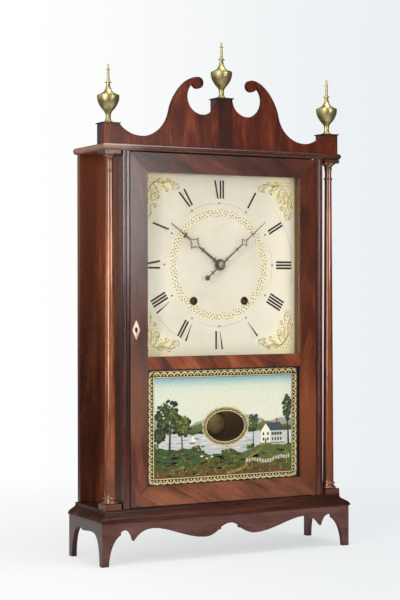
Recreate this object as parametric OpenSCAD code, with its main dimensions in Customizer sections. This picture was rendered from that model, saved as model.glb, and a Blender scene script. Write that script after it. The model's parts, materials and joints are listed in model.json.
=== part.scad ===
// Pillar and scroll shelf clock with a weight-driven wooden movement.
// Millimetres, +Z up, front towards -Y, origin under the middle of the base.
// The mirrored pieces of the case are drawn once and placed on both sides.

/* [Base] */
// Width over the bracket boards
base_w = 436; // [410:1:470]
// Depth from the front bracket board to the back
base_d = 123.5; // [118:0.5:140]
// Thickness of the bracket boards
bracket_t = 8; // [6:0.5:10]
// Height of the bracket boards with their feet
bracket_h = 64; // [60:1:80]
// Width of a front foot at the floor
foot_w = 11; // [8:0.5:16]
// Thickness of the moulded base top
base_top_t = 18.5; // [15:0.5:24]
// Overhang of the moulding's nose past the bracket boards
nose_over = 2; // [1:0.5:4]
// Distance of the moulding's upper edge behind the front bracket board
top_setback = 10.5; // [9:0.5:13]

/* [Case] */
// Clear height from the base top to the cornice
case_h = 539; // [530:1:560]
// Width over the case sides
case_w = 353.8; // [350:0.2:360]
// Thickness of the case sides
side_t = 8; // [6:0.5:9]
// Width of the back board with its wings
back_w = 406.8; // [396:0.2:412]
// Thickness of the back board
back_t = 9.5; // [7:0.5:10]
// Width of the beaded strip beside the door
bead_w = 11; // [9:0.5:13]
// Thickness of the beaded strip
bead_t = 5.5; // [4:0.5:7]
// Radius of the round bead on the strip
bead_r = 2; // [1:0.1:2.4]
// Width of the cornice over its noses
cornice_w = 421; // [416:1:430]
// Depth of the cornice from its nose to the back
cornice_d = 113.3; // [112.8:0.1:118]
// Thickness of the cornice
cornice_t = 10; // [8:0.5:14]

/* [Columns] */
// Side of the square plinth and cap of a column
plinth_w = 26; // [22:0.5:30]
// Height of the plinth
plinth_h = 8.6; // [6:0.2:12]
// Height of the square cap
cap_h = 5.6; // [4:0.2:9]
// Radius of the shaft at its foot
shaft_r0 = 8.7; // [7:0.1:10]
// Radius of the shaft under its neck ring
shaft_r1 = 5.7; // [4.5:0.1:6.5]
// Clearance of the plinth from the edge of the base top
plinth_edge = 0.25; // [0:0.05:1]
// Distance between the plinth and the case side
column_gap = 4.35; // [2:0.05:5]

/* [Scroll top] */
// Thickness of the scroll board
scroll_t = 8; // [6:0.5:10]
// Side of a finial block, with the board in front of it
block_w = 25.5; // [22:0.5:30]
// Height of the two end blocks
end_block_h = 30; // [27:0.5:36]
// Height of the centre block
centre_block_h = 77.2; // [72:0.2:84]
// Distance of the finial axes behind the column axes
finial_back = 4.5; // [2:0.5:8]
// Height of the scroll eyes above the cornice
eye_h = 99.5; // [96:0.5:104]
// Radius of a scroll eye
eye_r = 9.1; // [7:0.1:10]
// Distance of a scroll eye from the middle
eye_x = 47.6; // [45:0.1:50]
// Side of a cap plate
plate_w = 29; // [27:0.5:32]
// Thickness of a cap plate
plate_t = 1.6; // [1:0.1:3]
// Radius of a finial bowl
finial_r = 16.9; // [14:0.1:18]
// Height of a finial over its plate
finial_h = 88.7; // [84:0.1:96]

/* [Door] */
// Gap between the door and the beaded strips
door_gap = 1.4; // [1.1:0.1:2]
// Gap under the door
door_gap_low = 1; // [0.6:0.1:2]
// Gap over the door
door_gap_top = 1.5; // [0.6:0.1:3]
// Thickness of the door frame
door_t = 12; // [11:0.5:14]
// Distance of the door's face behind the bracket boards
door_set = 13.5; // [12:0.5:15]
// Width of a door stile
stile_w = 29; // [24:0.5:34]
// Height of the top and bottom rails
rail_h = 30; // [24:0.5:34]
// Height of the middle rail
mid_rail_h = 20; // [16:0.5:26]
// Height of the tablet opening
tablet_h = 177; // [165:1:185]
// Thickness of the glasses
glass_t = 2; // [1.5:0.1:3]
// Depth of the frame in front of the glass
lip_t = 4; // [3:0.1:5]
// Width of the frame that covers the edge of the glass
lip_w = 5; // [3:0.5:8]
// Distance of the pivot axis from the door's edge and face
pivot_in = 4; // [3.5:0.1:4.5]
// Radius of the pivot pins
pivot_r = 1.3; // [1:0.1:1.8]
// Height of the keyhole above the door's lower edge
keyhole_h = 268; // [250:1:290]
// Distance of the keyhole from the door's left edge
keyhole_in = 9.3; // [8:0.1:12]
// Half width of the keyhole escutcheon
escutcheon_w = 6.4; // [5:0.1:8]
// Half height of the keyhole escutcheon
escutcheon_h = 15.1; // [12:0.1:18]
// Travel of the lock bolt
bolt_travel = 7; // [6:0.5:8]

/* [Dial and hands] */
// Distance of the dial centre below the cornice
dial_centre_drop = 170.4; // [168:0.1:173]
// Lap of the dial board behind the stiles
dial_lap = 2.5; // [1:0.5:5]
// Lap of the dial board behind the rails
dial_lap_high = 7; // [3:0.5:10]
// Thickness of the dial board
dial_t = 7; // [5:0.5:8]
// Distance of the dial behind the face of the door
dial_set = 22.75; // [22:0.25:24]
// Distance of a winding hole from the middle
wind_x = 45.3; // [44:0.1:46]
// Distance of the winding holes below the dial centre
wind_drop = 56.5; // [55:0.1:58]
// Radius of a winding hole
wind_hole_r = 4.5; // [4:0.1:5]
// Length of the minute hand from the centre
minute_len = 105; // [95:1:115]
// Length of the hour hand from the centre
hour_len = 107; // [95:1:115]
// Angle of the minute hand, clockwise from the top
minute_angle = 49.6; // [0:0.1:360]
// Angle of the hour hand, clockwise from the top
hour_angle = 306.6; // [0:0.1:360]
// Thickness of the hands
hand_t = 1; // [0.6:0.1:1.4]

/* [Movement] */
// Width of the movement plates
plate_span = 170; // [168:1:176]
// Height of the movement plates
plates_h = 195; // [190:1:200]
// Thickness of the movement plates
mplate_t = 8; // [6:0.5:8]
// Distance between the movement plates
plate_gap = 35; // [34:0.5:36]
// Distance from the back of the dial to the front plate
dial_space = 14.5; // [14:0.1:15]
// Teeth of a great wheel
great_n = 48; // [48:4:56]
// Module of a great wheel
great_m = 1.333; // [1.3:0.001:1.34]
// Teeth of the second wheel
second_n = 42; // [40:1:44]
// Module of the second wheel
second_m = 1.2; // [1.15:0.01:1.22]
// Teeth of the centre wheel, which turns once an hour
centre_n = 35; // [33:1:36]
// Teeth of the third wheel
third_n = 36; // [34:1:36]
// Module of the third wheel
third_m = 1.1; // [1.08:0.01:1.12]
// Leaves of every pinion
leaf_n = 8; // [8:1:8]
// Teeth of the escape wheel
escape_n = 36; // [36:12:36]
// Radius of the escape wheel over its teeth
escape_r = 22; // [21:0.1:22.4]
// Distance between the hand axis and the minute wheel's axis
motion_a = 18; // [17:0.1:18.4]
// Radius of a winding drum
drum_r = 14; // [12:0.5:15]
// Running clearance of arbors and pins, radial
run = 0.06; // [0.02:0.01:0.1]

/* [Pendulum, weights and bell] */
// Distance of the suspension below the hand axis
suspension_drop = 20; // [19:0.1:21]
// Distance of the bob's centre below the hand axis
bob_drop = 250; // [235:1:262]
// Radius of the pendulum bob
bob_r = 19.8; // [16:0.1:24]
// Thickness of the pendulum bob
bob_t = 9; // [6:0.5:9.5]
// Radius of a driving weight
weight_r = 25; // [20:0.5:26]
// Height of a driving weight
weight_h = 110; // [90:1:130]
// Distance between a weight and the case side
weight_gap = 15.9; // [12:0.1:20]
// Travel of a weight
weight_travel = 330; // [250:5:340]
// Radius of the cord's path round a pulley
pulley_r = 13; // [11:0.5:14]
// Diameter of the weight cords
cord_d = 2; // [1.5:0.1:2.5]
// Radius of the bell at its mouth
bell_r = 30; // [26:0.5:31]
// Depth of the bell
bell_h = 24; // [20:0.5:26]

/* [Hidden] */
$fn = 48;
eps = 0.01;

mahogany = [0.42, 0.2, 0.14];
dark_mahogany = [0.3, 0.13, 0.1];
pine = [0.62, 0.46, 0.3];
cherry = [0.6, 0.38, 0.22];
brass = [0.72, 0.6, 0.3];
iron = [0.2, 0.19, 0.18];
steel = [0.6, 0.6, 0.6];
cream = [0.89, 0.87, 0.8];
bone = [0.86, 0.78, 0.68];
clear = [0.8, 0.9, 0.9, 0.4];

// Faces of the case, back to front and floor to top
y_back = (base_d + nose_over) / 2;
y_board = y_back - base_d;
y_nose = y_board - nose_over;
z_base = bracket_h + base_top_t;
z_corn = z_base + case_h;
z_top = z_corn + cornice_t;
y_in = y_back - back_t;
x_in = case_w / 2 - side_t;

// Columns and finials stand on the same lines from side to side
column_x = case_w / 2 + column_gap + plinth_w / 2;
side_setback = base_w / 2 - column_x - plinth_w / 2 - plinth_edge;
column_y = y_board + top_setback + plinth_edge + plinth_w / 2;
finial_y = column_y + finial_back;
y_scroll = finial_y - block_w / 2;

// Door
door_w = case_w - 2 * bead_w - 2 * door_gap;
z_door0 = z_base + door_gap_low;
z_door1 = z_corn - door_gap_top;
y_door = y_board + door_set;
y_bead = y_door - 0.25;
y_glass = y_door + lip_t;
door_x = door_w / 2;
open_x = door_x - stile_w;
z_open = [z_door0 + rail_h, z_door0 + rail_h + tablet_h,
          z_door0 + rail_h + tablet_h + mid_rail_h, z_door1 - rail_h];
pivot_x = door_x - pivot_in;
pivot_y = y_door + pivot_in - 1;
pivot_depth = 8;
key_x = -door_x + keyhole_in;
key_z = z_door0 + keyhole_h;
inlay_t = 1;

// Dial, hand axis and movement
y_dial = y_door + dial_set;
dial_w = 2 * (open_x + dial_lap);
z_dial = [z_open[2] - dial_lap_high, z_open[3] + dial_lap_high];
z_hand = z_corn - dial_centre_drop;
z_wind = z_hand - wind_drop;
y_fplate = y_dial + dial_t + dial_space;
y_gap0 = y_fplate + mplate_t;
y_gap1 = y_gap0 + plate_gap;
y_bplate = y_gap1 + mplate_t;
z_plate1 = z_hand + 94;
z_plate0 = z_plate1 - plates_h;
arbor_r = 1.5;
pivot_end_r = 1.2;
drum_arbor_r = 3;
batten_x = dial_w / 2 + 0.3;
batten_lip = 10;
batten_t = 12;

// Layers of the going train, as distances behind the front plate
drum_y0 = y_gap0 + 3;
drum_w = 12;
third_y0 = y_gap0 + 5;
centre_y0 = y_gap0 + 14.5;
centre_t = 3;
second_y0 = y_gap0 + 19;
great_y0 = y_gap0 + 25;
wheel_t = 4;
great_t = 6;
escape_y = y_fplate - 5.5;
escape_t = 2.5;

// Axes of the going train in the plane of the plates
function pitch_r(n, m) = n * m / 2;
function axis_gap(n, m) = pitch_r(n, m) + pitch_r(leaf_n, m);
// Point at distance ra from a and rb from b, on the side given by s
function meet(a, ra, b, rb, s) =
    let (d = norm(b - a), t = (ra * ra - rb * rb + d * d) / (2 * d),
         h = sqrt(ra * ra - t * t), u = (b - a) / d)
    a + t * u + s * h * [-u[1], u[0]];
great_p = [wind_x, z_wind];
escape_drop = 60.1;
escape_p = [0, z_hand - escape_drop];
second_x = 35;
second_p = [second_x, great_p[1]
    + sqrt(pow(axis_gap(great_n, great_m), 2) - pow(great_p[0] - second_x, 2))];
third_p = meet(escape_p, axis_gap(third_n, third_m), second_p, axis_gap(second_n, second_m), 1);
centre_m = 2 * norm(second_p - [0, z_hand]) / (centre_n + leaf_n);
function heading(a, b) = atan2(b[1] - a[1], b[0] - a[0]);

// Escapement and pendulum
pallet_span = 7.5 * 360 / escape_n;
pallet_gap = 0.4;
verge_z = escape_p[1] + escape_r / cos(pallet_span / 2);
suspension_z = z_hand - suspension_drop;
rod_y = y_fplate - 9;
rod_r = 1;
crutch_drop = 19;
bob_z = z_hand - bob_drop;

// Weights, pulleys and cords
line_y = drum_y0 + drum_w / 2;
weight_x = x_in - weight_gap - weight_r;
pulley_x = weight_x - pulley_r;
pulley_drop = 23.5;
pulley_z = z_corn - pulley_drop;
pulley_t = 8;
weight_clear = 8;
weight_z0 = z_base + weight_clear;
hook_r = 5;
hook_wire = 1.5;
weight_top = weight_z0 + weight_h;
hook_z = weight_top + hook_r + hook_wire - 0.5;
cord_z0 = hook_z + hook_r + hook_wire;
cord_r = cord_d / 2;
rail_x = 62;

// Bell and hammer
bell_gap = 3.5;
bell_stud_l = 7;
bell_z = z_corn - bell_r - bell_gap;
bell_crown_y = y_in - bell_stud_l;
hammer_x = -34;
hammer_drop = 23;
hammer_p = [hammer_x, z_plate1 - hammer_drop];
hammer_tail = 30;
hammer_r = 5;
strike_gap = 0.5;
strike_angle = 225;

// Points of a cubic curve, first end left out
function curve(a, b, c, d, n = 8) = [for (i = [1:n]) let (t = i / n, s = 1 - t)
    s * s * s * a + 3 * s * s * t * b + 3 * s * t * t * c + t * t * t * d];
function arc(c, r, a0, a1, n = 12) = [for (i = [0:n]) let (a = a0 + (a1 - a0) * i / n)
    c + r * [cos(a), sin(a)]];
function flip(points) = [for (i = [len(points) - 1:-1:0]) [-points[i][0], points[i][1]]];

// Extrudes a drawing in the XZ plane from y0 back to y0 + t
module plate_y(y0, t) {
    translate([0, y0 + t, 0]) rotate([90, 0, 0]) linear_extrude(t) children();
}
// Extrudes a drawing in the YZ plane from x0 to x0 + t
module plate_x(x0, t) {
    translate([x0, 0, 0]) rotate([90, 0, 90]) linear_extrude(t) children();
}
// Round bar along Y
module bar_y(x, z, y0, y1, r) {
    translate([x, y1, z]) rotate([90, 0, 0]) cylinder(r = r, h = y1 - y0);
}
module box(x0, x1, y0, y1, z0, z1) {
    translate([x0, y0, z0]) cube([x1 - x0, y1 - y0, z1 - z0]);
}
module both_sides() {
    children();
    mirror([1, 0, 0]) children();
}

// Base

// Right half of the front skirt's lower edge, from the foot to the middle
function skirt_half() =
    let (x = base_w / 2, z = bracket_h, f = x - foot_w)
    concat([[f, 0]],
        curve([f, 0], [f - 1, 22], [f - 8, 40], [x - 31, z - 17.8]),
        [[x - 31, z - 13.8]],
        curve([x - 31, z - 13.8], [x - 36, z - 8.5], [x - 49, z - 10], [x - 52.4, z - 28.4], 6),
        curve([x - 52.4, z - 28.4], [x - 60, z - 17], [x - 70, z - 11.2], [x - 85, z - 11.2]),
        curve([x - 85, z - 11.2], [108, z - 11.2], [75, z - 30.8], [44, z - 30.8]),
        curve([44, z - 30.8], [34, z - 30.8], [27, z - 26], [20, z - 21.3], 5),
        [[16.5, z - 21.3], [16.5, z - 17.6]],
        curve([16.5, z - 17.6], [10, z - 14], [5, z - 12.2], [0, z - 12.2], 5));

// Lower edge of a side skirt, from the front foot to the back foot
function side_skirt() =
    let (y = y_board, e = y_back, z = bracket_h)
    concat([[y + foot_w - 1.2, 0]],
        curve([y + foot_w - 1.2, 0], [y + foot_w, 30], [y + 18, z - 20], [y + 30, z - 16.4]),
        curve([y + 30, z - 16.4], [y + 45, z - 13.5], [e - 64, z - 18], [e - 50, z - 17.3], 5),
        curve([e - 50, z - 17.3], [e - 44, z - 13.2], [e - 40, z - 13.2], [e - 36, z - 13.2], 4),
        curve([e - 36, z - 13.2], [e - 23, z - 16], [e - 11.5, z - 29], [e - foot_w, 0]));

module front_outline() {
    half = skirt_half();
    polygon(concat([[base_w / 2, 0]], half, flip(half), [[-base_w / 2, 0],
        [-base_w / 2, bracket_h], [base_w / 2, bracket_h]]));
}

// Plan of the base boards: the corners are mitred
module base_front() {
    color(mahogany) intersection() {
        plate_y(y_board, bracket_t) front_outline();
        linear_extrude(bracket_h) polygon([[-base_w / 2, y_board], [base_w / 2, y_board],
            [base_w / 2 - bracket_t, y_board + bracket_t],
            [-base_w / 2 + bracket_t, y_board + bracket_t]]);
    }
}
module side_board() {
    color(mahogany) intersection() {
        plate_x(base_w / 2 - bracket_t, bracket_t)
            polygon(concat([[y_board, 0]], side_skirt(),
                [[y_back, 0], [y_back, bracket_h], [y_board, bracket_h]]));
        linear_extrude(bracket_h) polygon([[base_w / 2, y_board], [base_w / 2, y_back],
            [base_w / 2 - bracket_t, y_back], [base_w / 2 - bracket_t, y_board + bracket_t]]);
    }
}
module base_side_right() { side_board(); }
module base_side_left() { mirror([1, 0, 0]) side_board(); }

// Edge of the base top, as distances outside the bracket boards and heights;
// s is the distance of its upper edge behind them
function edge_profile(s) =
    let (a = bracket_h, b = z_base)
    concat([[0, a]],
        curve([0, a], [nose_over * 0.8, a], [nose_over, a + 1.2], [nose_over, a + 2.4], 5),
        curve([nose_over, a + 2.4], [nose_over - 0.6, a + 6.5], [-s * 0.3, a + 8.6],
            [-s * 0.62, a + 10.6], 6),
        curve([-s * 0.62, a + 10.6], [-s * 0.86, a + 12], [-s, a + 13], [-s, b - 3], 4),
        [[-s, b]]);
module base_top() {
    front_edge = edge_profile(top_setback);
    side_edge = [for (p = edge_profile(side_setback)) [base_w / 2 + p[0], p[1]]];
    color(mahogany) difference() {
        intersection() {
            plate_x(-base_w, 2 * base_w) polygon(concat(
                [[y_back, bracket_h]], [for (p = front_edge) [y_board - p[0], p[1]]],
                [[y_back, z_base]]));
            plate_y(y_nose - 1, base_d + nose_over + 1)
                polygon(concat(side_edge, flip(side_edge)));
        }
        translate([pivot_x, pivot_y, z_base - pivot_depth])
            cylinder(r = pivot_r + run, h = pivot_depth + 1);
    }
}

// Case

module backboard() {
    color(mahogany) difference() {
        box(-back_w / 2, back_w / 2, y_in, y_back, z_base, z_corn);
        bar_y(0, bell_z, y_in - 1, y_back + 1, 2);
    }
}
module case_side() {
    box(x_in, x_in + side_t, y_bead + bead_t, y_in, z_base, z_corn);
}
module case_side_right() { color(mahogany) case_side(); }
module case_side_left() {
    color(mahogany) difference() {
        mirror([1, 0, 0]) case_side();
        box(-door_x - bolt_travel - 1, -x_in + 1, bolt_y - bolt_t / 2 - 0.3,
            bolt_y + bolt_t / 2 + 0.3, key_z - bolt_h / 2 - 0.5, key_z + bolt_h / 2 + 0.5);
    }
}
// Strips at the front edges of the case, each with a fillet and a round bead
module jamb_beads() {
    x = case_w / 2;
    quirk = 0.9;
    color(mahogany) both_sides() translate([0, 0, z_base]) linear_extrude(case_h) {
        difference() {
            translate([x - bead_w, y_bead]) square([bead_w, bead_t]);
            translate([x - 1.6 - 1.2, y_bead - 1]) square([1.2, quirk + 1]);
            translate([x - bead_w - 1, y_bead - 1])
                square([bead_w + 1 - 2.8 - 2 * bead_r, quirk + 1]);
            translate([x - 2.8 - 2 * bead_r, y_bead - 1]) square([2 * bead_r, bead_r + 1]);
        }
        translate([x - 2.8 - bead_r, y_bead + bead_r]) circle(bead_r);
    }
}
// The cornice has half-round noses at its front and ends
module cornice() {
    r = cornice_t / 2;
    color(mahogany) difference() {
        intersection() {
            plate_y(y_back - cornice_d - 1, cornice_d + 1) union() {
                translate([-cornice_w / 2 + r, z_corn]) square([cornice_w - 2 * r, cornice_t]);
                for (s = [-1, 1]) translate([s * (cornice_w / 2 - r), z_corn + r]) circle(r);
            }
            plate_x(-cornice_w, 2 * cornice_w) union() {
                translate([y_back - cornice_d + r, z_corn])
                    square([cornice_d - r, cornice_t]);
                translate([y_back - cornice_d + r, z_corn + r]) circle(r);
            }
        }
        translate([pivot_x, pivot_y, z_corn - 1])
            cylinder(r = pivot_r + run, h = pivot_depth + 1);
    }
}

// Columns

module column_blocks() {
    w = plinth_w / 2;
    color(mahogany) both_sides() translate([column_x, column_y, 0]) {
        box(-w, w, -w, w, z_base, z_base + plinth_h);
        box(-w, w, -w, w, z_corn - cap_h, z_corn);
    }
}
// Turned column: two base rings, a tapering shaft, a neck ring and a flaring bell
module column() {
    z0 = z_base + plinth_h;
    z1 = z_corn - cap_h;
    low = [shaft_r0 + 3.6, 1.7];
    mid = [shaft_r0 + 2.2, 1.5];
    neck = [shaft_r1 + 1.5, 1.9];
    flare = curve([5.4, z1 - 9], [5.6, z1 - 5], [8.5, z1 - 2.4], [11.6, z1 - 1], 6);
    color(mahogany) translate([column_x, column_y, 0]) rotate_extrude() {
        polygon(concat([[0, z0], [low[0] - low[1], z0], [shaft_r0 + 1, z0 + 3.4],
            [shaft_r0 + 0.6, z0 + 6.8], [shaft_r0 + 0.6, z0 + 10]],
            curve([shaft_r0 + 0.6, z0 + 10], [shaft_r0, z0 + 10.6], [shaft_r0, z0 + 12],
                [shaft_r0, z0 + 14], 3),
            [[shaft_r1, z1 - 26], [shaft_r1 - 0.4, z1 - 23], [shaft_r1 - 0.4, z1 - 11],
             [shaft_r1 + 0.6, z1 - 10.7], [shaft_r1 + 0.6, z1 - 9.2]],
            flare, [[11.6, z1], [0, z1]]));
        translate([low[0] - low[1], z0 + low[1]]) circle(low[1]);
        translate([mid[0] - mid[1], z0 + 8.4]) circle(mid[1]);
        translate([neck[0] - neck[1], z1 - 24.9]) circle(neck[1]);
    }
}
module column_right() { column(); }
module column_left() { mirror([1, 0, 0]) column(); }

// Scroll top

// Right half of the scroll board's outline, from its outer edge to the middle:
// a hollow beside the end block, a swan neck over the eye, and a round inner hollow
function scroll_half() =
    let (x1 = column_x + block_w / 2, xb = x1 - block_w, z = z_top, zb = z_top + end_block_h,
         hollow = [xb - 36.9, zb + 32.2], hollow_r = norm([36.9, 32.2]),
         eye = [eye_x, z + eye_h], void = [eye_x - 8.1, z + eye_h - 22],
         void_r = 27, start = hollow + hollow_r * [cos(190), sin(190)],
         away = norm(eye - void),
         cusp_a = heading(void, eye)
             - acos((void_r * void_r + away * away - eye_r * eye_r) / (2 * void_r * away)),
         cusp = void + void_r * [cos(cusp_a), sin(cusp_a)])
    concat([[x1, z], [x1, zb]],
        arc(hollow, hollow_r, -atan2(32.2, 36.9), -170, 14),
        curve(start, start + 24 * [-0.174, 0.985], [eye_x + 22, eye[1] + eye_r],
            [eye_x, eye[1] + eye_r], 10),
        arc(eye, eye_r, 106, 360 + heading(eye, cusp), 15),
        arc(void, void_r, cusp_a - 8, -90, 15),
        arc(void, void_r, -98, -178, 10),
        [[block_w / 2 - 0.3, z + centre_block_h]]);
module scroll_board() {
    half = scroll_half();
    color(mahogany) plate_y(y_scroll, scroll_t) polygon(concat(half, flip(half)));
}
module finial_blocks() {
    y0 = y_scroll + scroll_t;
    y1 = y_scroll + block_w;
    w = block_w / 2;
    color(mahogany) difference() {
        union() {
            both_sides() box(column_x - w, column_x + w, y0, y1, z_top, z_top + end_block_h);
            box(-w, w, y0, y1, z_top, z_top + centre_block_h);
        }
        for (p = finial_places()) translate([p[0], finial_y, p[1] - 14])
            cylinder(r = 2 + run, h = 15);
    }
}
function finial_places() = [[-column_x, z_top + end_block_h], [column_x, z_top + end_block_h],
    [0, z_top + centre_block_h]];
module finial_plates() {
    w = plate_w / 2;
    color(dark_mahogany) for (p = finial_places()) difference() {
        translate([p[0] - w, finial_y - w, p[1]]) cube([plate_w, plate_w, plate_t]);
        translate([p[0], finial_y, p[1] - 1]) cylinder(r = 2 + run, h = plate_t + 2);
    }
}
// Turned brass urn with a spire; its stem runs down into the block
module finial() {
    h = finial_h;
    spike = h - 28.5;
    rotate_extrude() polygon(concat(
        [[0, -13.5], [2, -13.5], [2, 0], [7.4, 0], [7.4, 1.5]],
        curve([7.4, 1.5], [4.6, 2.4], [3.9, 5], [3.9, 10], 6),
        curve([3.9, 10], [3.9, 17], [8.4, 18.5], [11.5, 23.5], 6),
        curve([11.5, 23.5], [15, 29], [finial_r, 33], [finial_r, 40], 6),
        [[finial_r - 0.3, 41.6], [finial_r - 2.2, 42.4], [finial_r - 4, 42.6], [11.4, 44]],
        curve([11.4, 44], [7, 45], [5.2, 49], [3.8, 53], 5),
        [[2.7, spike - 1], [2.7, spike], [5.2, spike + 0.2], [5.2, spike + 1.1],
         [2.8, spike + 1.6], [2.2, spike + 4.5], [1.7, h - 10], [1.7, h - 9.2],
         [3.1, h - 9], [3.1, h - 8.2], [1.5, h - 7.6], [1.1, h - 4.6], [1.4, h - 2.4],
         [0.8, h - 0.6], [0, h]]));
}
module finials() {
    color(brass) for (p = finial_places()) translate([p[0], finial_y, p[1] + plate_t]) finial();
}

// Door

bolt_t = 4;
bolt_h = 10;
lock_w = 20;
lock_h = 34;
lock_t = 5;
bolt_y = y_door + door_t - lock_t / 2 - 0.5;

module keyhole_2d(r) {
    circle(r);
    translate([-r * 0.55, -r * 3]) square([r * 1.1, r * 3]);
}
// Holes for the pivot pins, through the mitres at both ends of the right stile
module pivot_holes() {
    for (z = [z_door0 - 1, z_door1 - pivot_depth]) translate([pivot_x, pivot_y, z])
        cylinder(r = pivot_r, h = pivot_depth + 1);
}
// Frame member cut to the mitre lines of the door
module frame_piece(outline) {
    difference() {
        plate_y(y_door, door_t) polygon(outline);
        for (k = [0, 2]) box(-open_x - lip_w, open_x + lip_w, y_glass, y_door + door_t + 1,
            z_open[k] - lip_w, z_open[k + 1] + lip_w);
    }
}
module right_stile_body() {
    frame_piece([[door_x, z_door0], [door_x, z_door1], [open_x, z_open[3]],
        [open_x, z_open[0]]]);
}
module door_stile_right() {
    color(mahogany) difference() {
        right_stile_body();
        pivot_holes();
    }
}
module door_stile_left() {
    color(mahogany) difference() {
        mirror([1, 0, 0]) right_stile_body();
        plate_y(y_door - 1, 1 + inlay_t) translate([key_x, key_z]) lozenge();
        plate_y(y_door - 1, door_t + 2) translate([key_x, key_z + 2]) keyhole_2d(2);
        translate([-door_x - 1, y_door + door_t - lock_t, key_z - lock_h / 2])
            cube([lock_w + 1, lock_t + 1, lock_h]);
    }
}
module lozenge() {
    polygon([[-escutcheon_w, 0], [0, escutcheon_h], [escutcheon_w, 0], [0, -escutcheon_h]]);
}
module keyhole_escutcheon() {
    color(bone) plate_y(y_door - 0.3, inlay_t + 0.3) translate([key_x, key_z])
        difference() {
            lozenge();
            translate([0, 2]) keyhole_2d(2);
        }
}
module door_rail_top() {
    color(mahogany) difference() {
        frame_piece([[door_x, z_door1], [-door_x, z_door1], [-open_x, z_open[3]],
            [open_x, z_open[3]]]);
        pivot_holes();
    }
}
module door_rail_bottom() {
    color(mahogany) difference() {
        frame_piece([[door_x, z_door0], [open_x, z_open[0]], [-open_x, z_open[0]],
            [-door_x, z_door0]]);
        pivot_holes();
    }
}
module door_rail_middle() {
    color(mahogany) frame_piece([[open_x, z_open[1]], [open_x, z_open[2]],
        [-open_x, z_open[2]], [-open_x, z_open[1]]]);
}
// A glass lies in the rebate behind the frame
module glass(k) {
    color(clear) box(-open_x - lip_w, open_x + lip_w, y_glass, y_glass + glass_t,
        z_open[k] - lip_w, z_open[k + 1] + lip_w);
}
module dial_glass() { glass(2); }
module tablet_glass() { glass(0); }
module door_pivots() {
    collar = 3;
    float = 0.1;
    color(brass) translate([pivot_x, pivot_y, 0]) {
        translate([0, 0, z_base - pivot_depth + 1])
            cylinder(r = pivot_r, h = 2 * pivot_depth - 1 + door_gap_low);
        translate([0, 0, z_base + float]) cylinder(r = collar, h = door_gap_low - float);
        translate([0, 0, z_door1 - pivot_depth])
            cylinder(r = pivot_r, h = 2 * pivot_depth - 1 + door_gap_top);
        translate([0, 0, z_door1]) cylinder(r = collar, h = door_gap_top - float);
    }
}
// Half-mortise lock let into the back of the stile, with a slot for its bolt
module door_lock() {
    slack = 0.1;
    x0 = -door_x;
    y1 = y_door + door_t;
    color(brass) difference() {
        box(x0, x0 + lock_w, y1 - lock_t, y1, key_z - lock_h / 2, key_z + lock_h / 2);
        box(x0 - 1, x0 + lock_w - 2, bolt_y - bolt_t / 2 - slack, bolt_y + bolt_t / 2 + slack,
            key_z - bolt_h / 2 - slack, key_z + bolt_h / 2 + slack);
        plate_y(y_door, door_t + 1) translate([key_x, key_z + 2]) keyhole_2d(2);
    }
}
module lock_bolt() {
    x0 = -door_x;
    color(brass) box(x0, x0 + lock_w - 2.5 - bolt_travel, bolt_y - bolt_t / 2,
        bolt_y + bolt_t / 2, key_z - bolt_h / 2, key_z + bolt_h / 2);
}

// Dial and hands

// Battens beside the dial and rails behind the movement
module inner_rails() {
    lip_y = y_dial + dial_t;
    rail_w = 18;
    color(pine) both_sides() {
        box(batten_x, x_in, y_dial, y_dial + batten_t, z_base, z_corn);
        box(batten_x - batten_lip, batten_x + eps, lip_y, y_dial + batten_t, z_base, z_corn);
        box(rail_x - rail_w / 2, rail_x + rail_w / 2, y_bplate, y_in, z_plate0 - 20,
            z_plate1 - 4);
    }
}
module dial_board() {
    color(cream) difference() {
        box(-dial_w / 2, dial_w / 2, y_dial, y_dial + dial_t, z_dial[0], z_dial[1]);
        bar_y(0, z_hand, y_dial - 1, y_dial + dial_t + 1, 7);
        for (s = [-1, 1]) bar_y(s * wind_x, z_wind, y_dial - 1, y_dial + dial_t + 1,
            wind_hole_r + 0.8);
    }
}
module winding_bushes() {
    color(brass) for (s = [-1, 1]) difference() {
        union() {
            bar_y(s * wind_x, z_wind, y_dial - 0.8, y_dial, wind_hole_r + 1.7);
            bar_y(s * wind_x, z_wind, y_dial - eps, y_dial + dial_t, wind_hole_r + 0.8);
        }
        bar_y(s * wind_x, z_wind, y_dial - 2, y_dial + dial_t + 1, wind_hole_r);
    }
}

// Four-pointed open star whose sides curve inwards
module star(w, l, wire) {
    difference() {
        star_outline(w, l);
        star_outline(w - 2.2 * wire, l - 2.2 * wire);
    }
}
module star_outline(w, l) {
    k = 0.36;
    polygon(concat(curve([0, l], [w * k * 0.7, l * k], [w * k, l * k * 0.7], [w, 0], 6),
        curve([w, 0], [w * k, -l * k * 0.7], [w * k * 0.7, -l * k], [0, -l], 6),
        curve([0, -l], [-w * k * 0.7, -l * k], [-w * k, -l * k * 0.7], [-w, 0], 6),
        curve([-w, 0], [-w * k, l * k * 0.7], [-w * k * 0.7, l * k], [0, l], 6)));
}
module taper(y0, y1, w0, w1) {
    polygon([[-w0 / 2, y0], [-w1 / 2, y1], [w1 / 2, y1], [w0 / 2, y0]]);
}
module cross_bar(y, w, t) {
    translate([-w / 2, y - t / 2]) square([w, t]);
}
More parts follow.
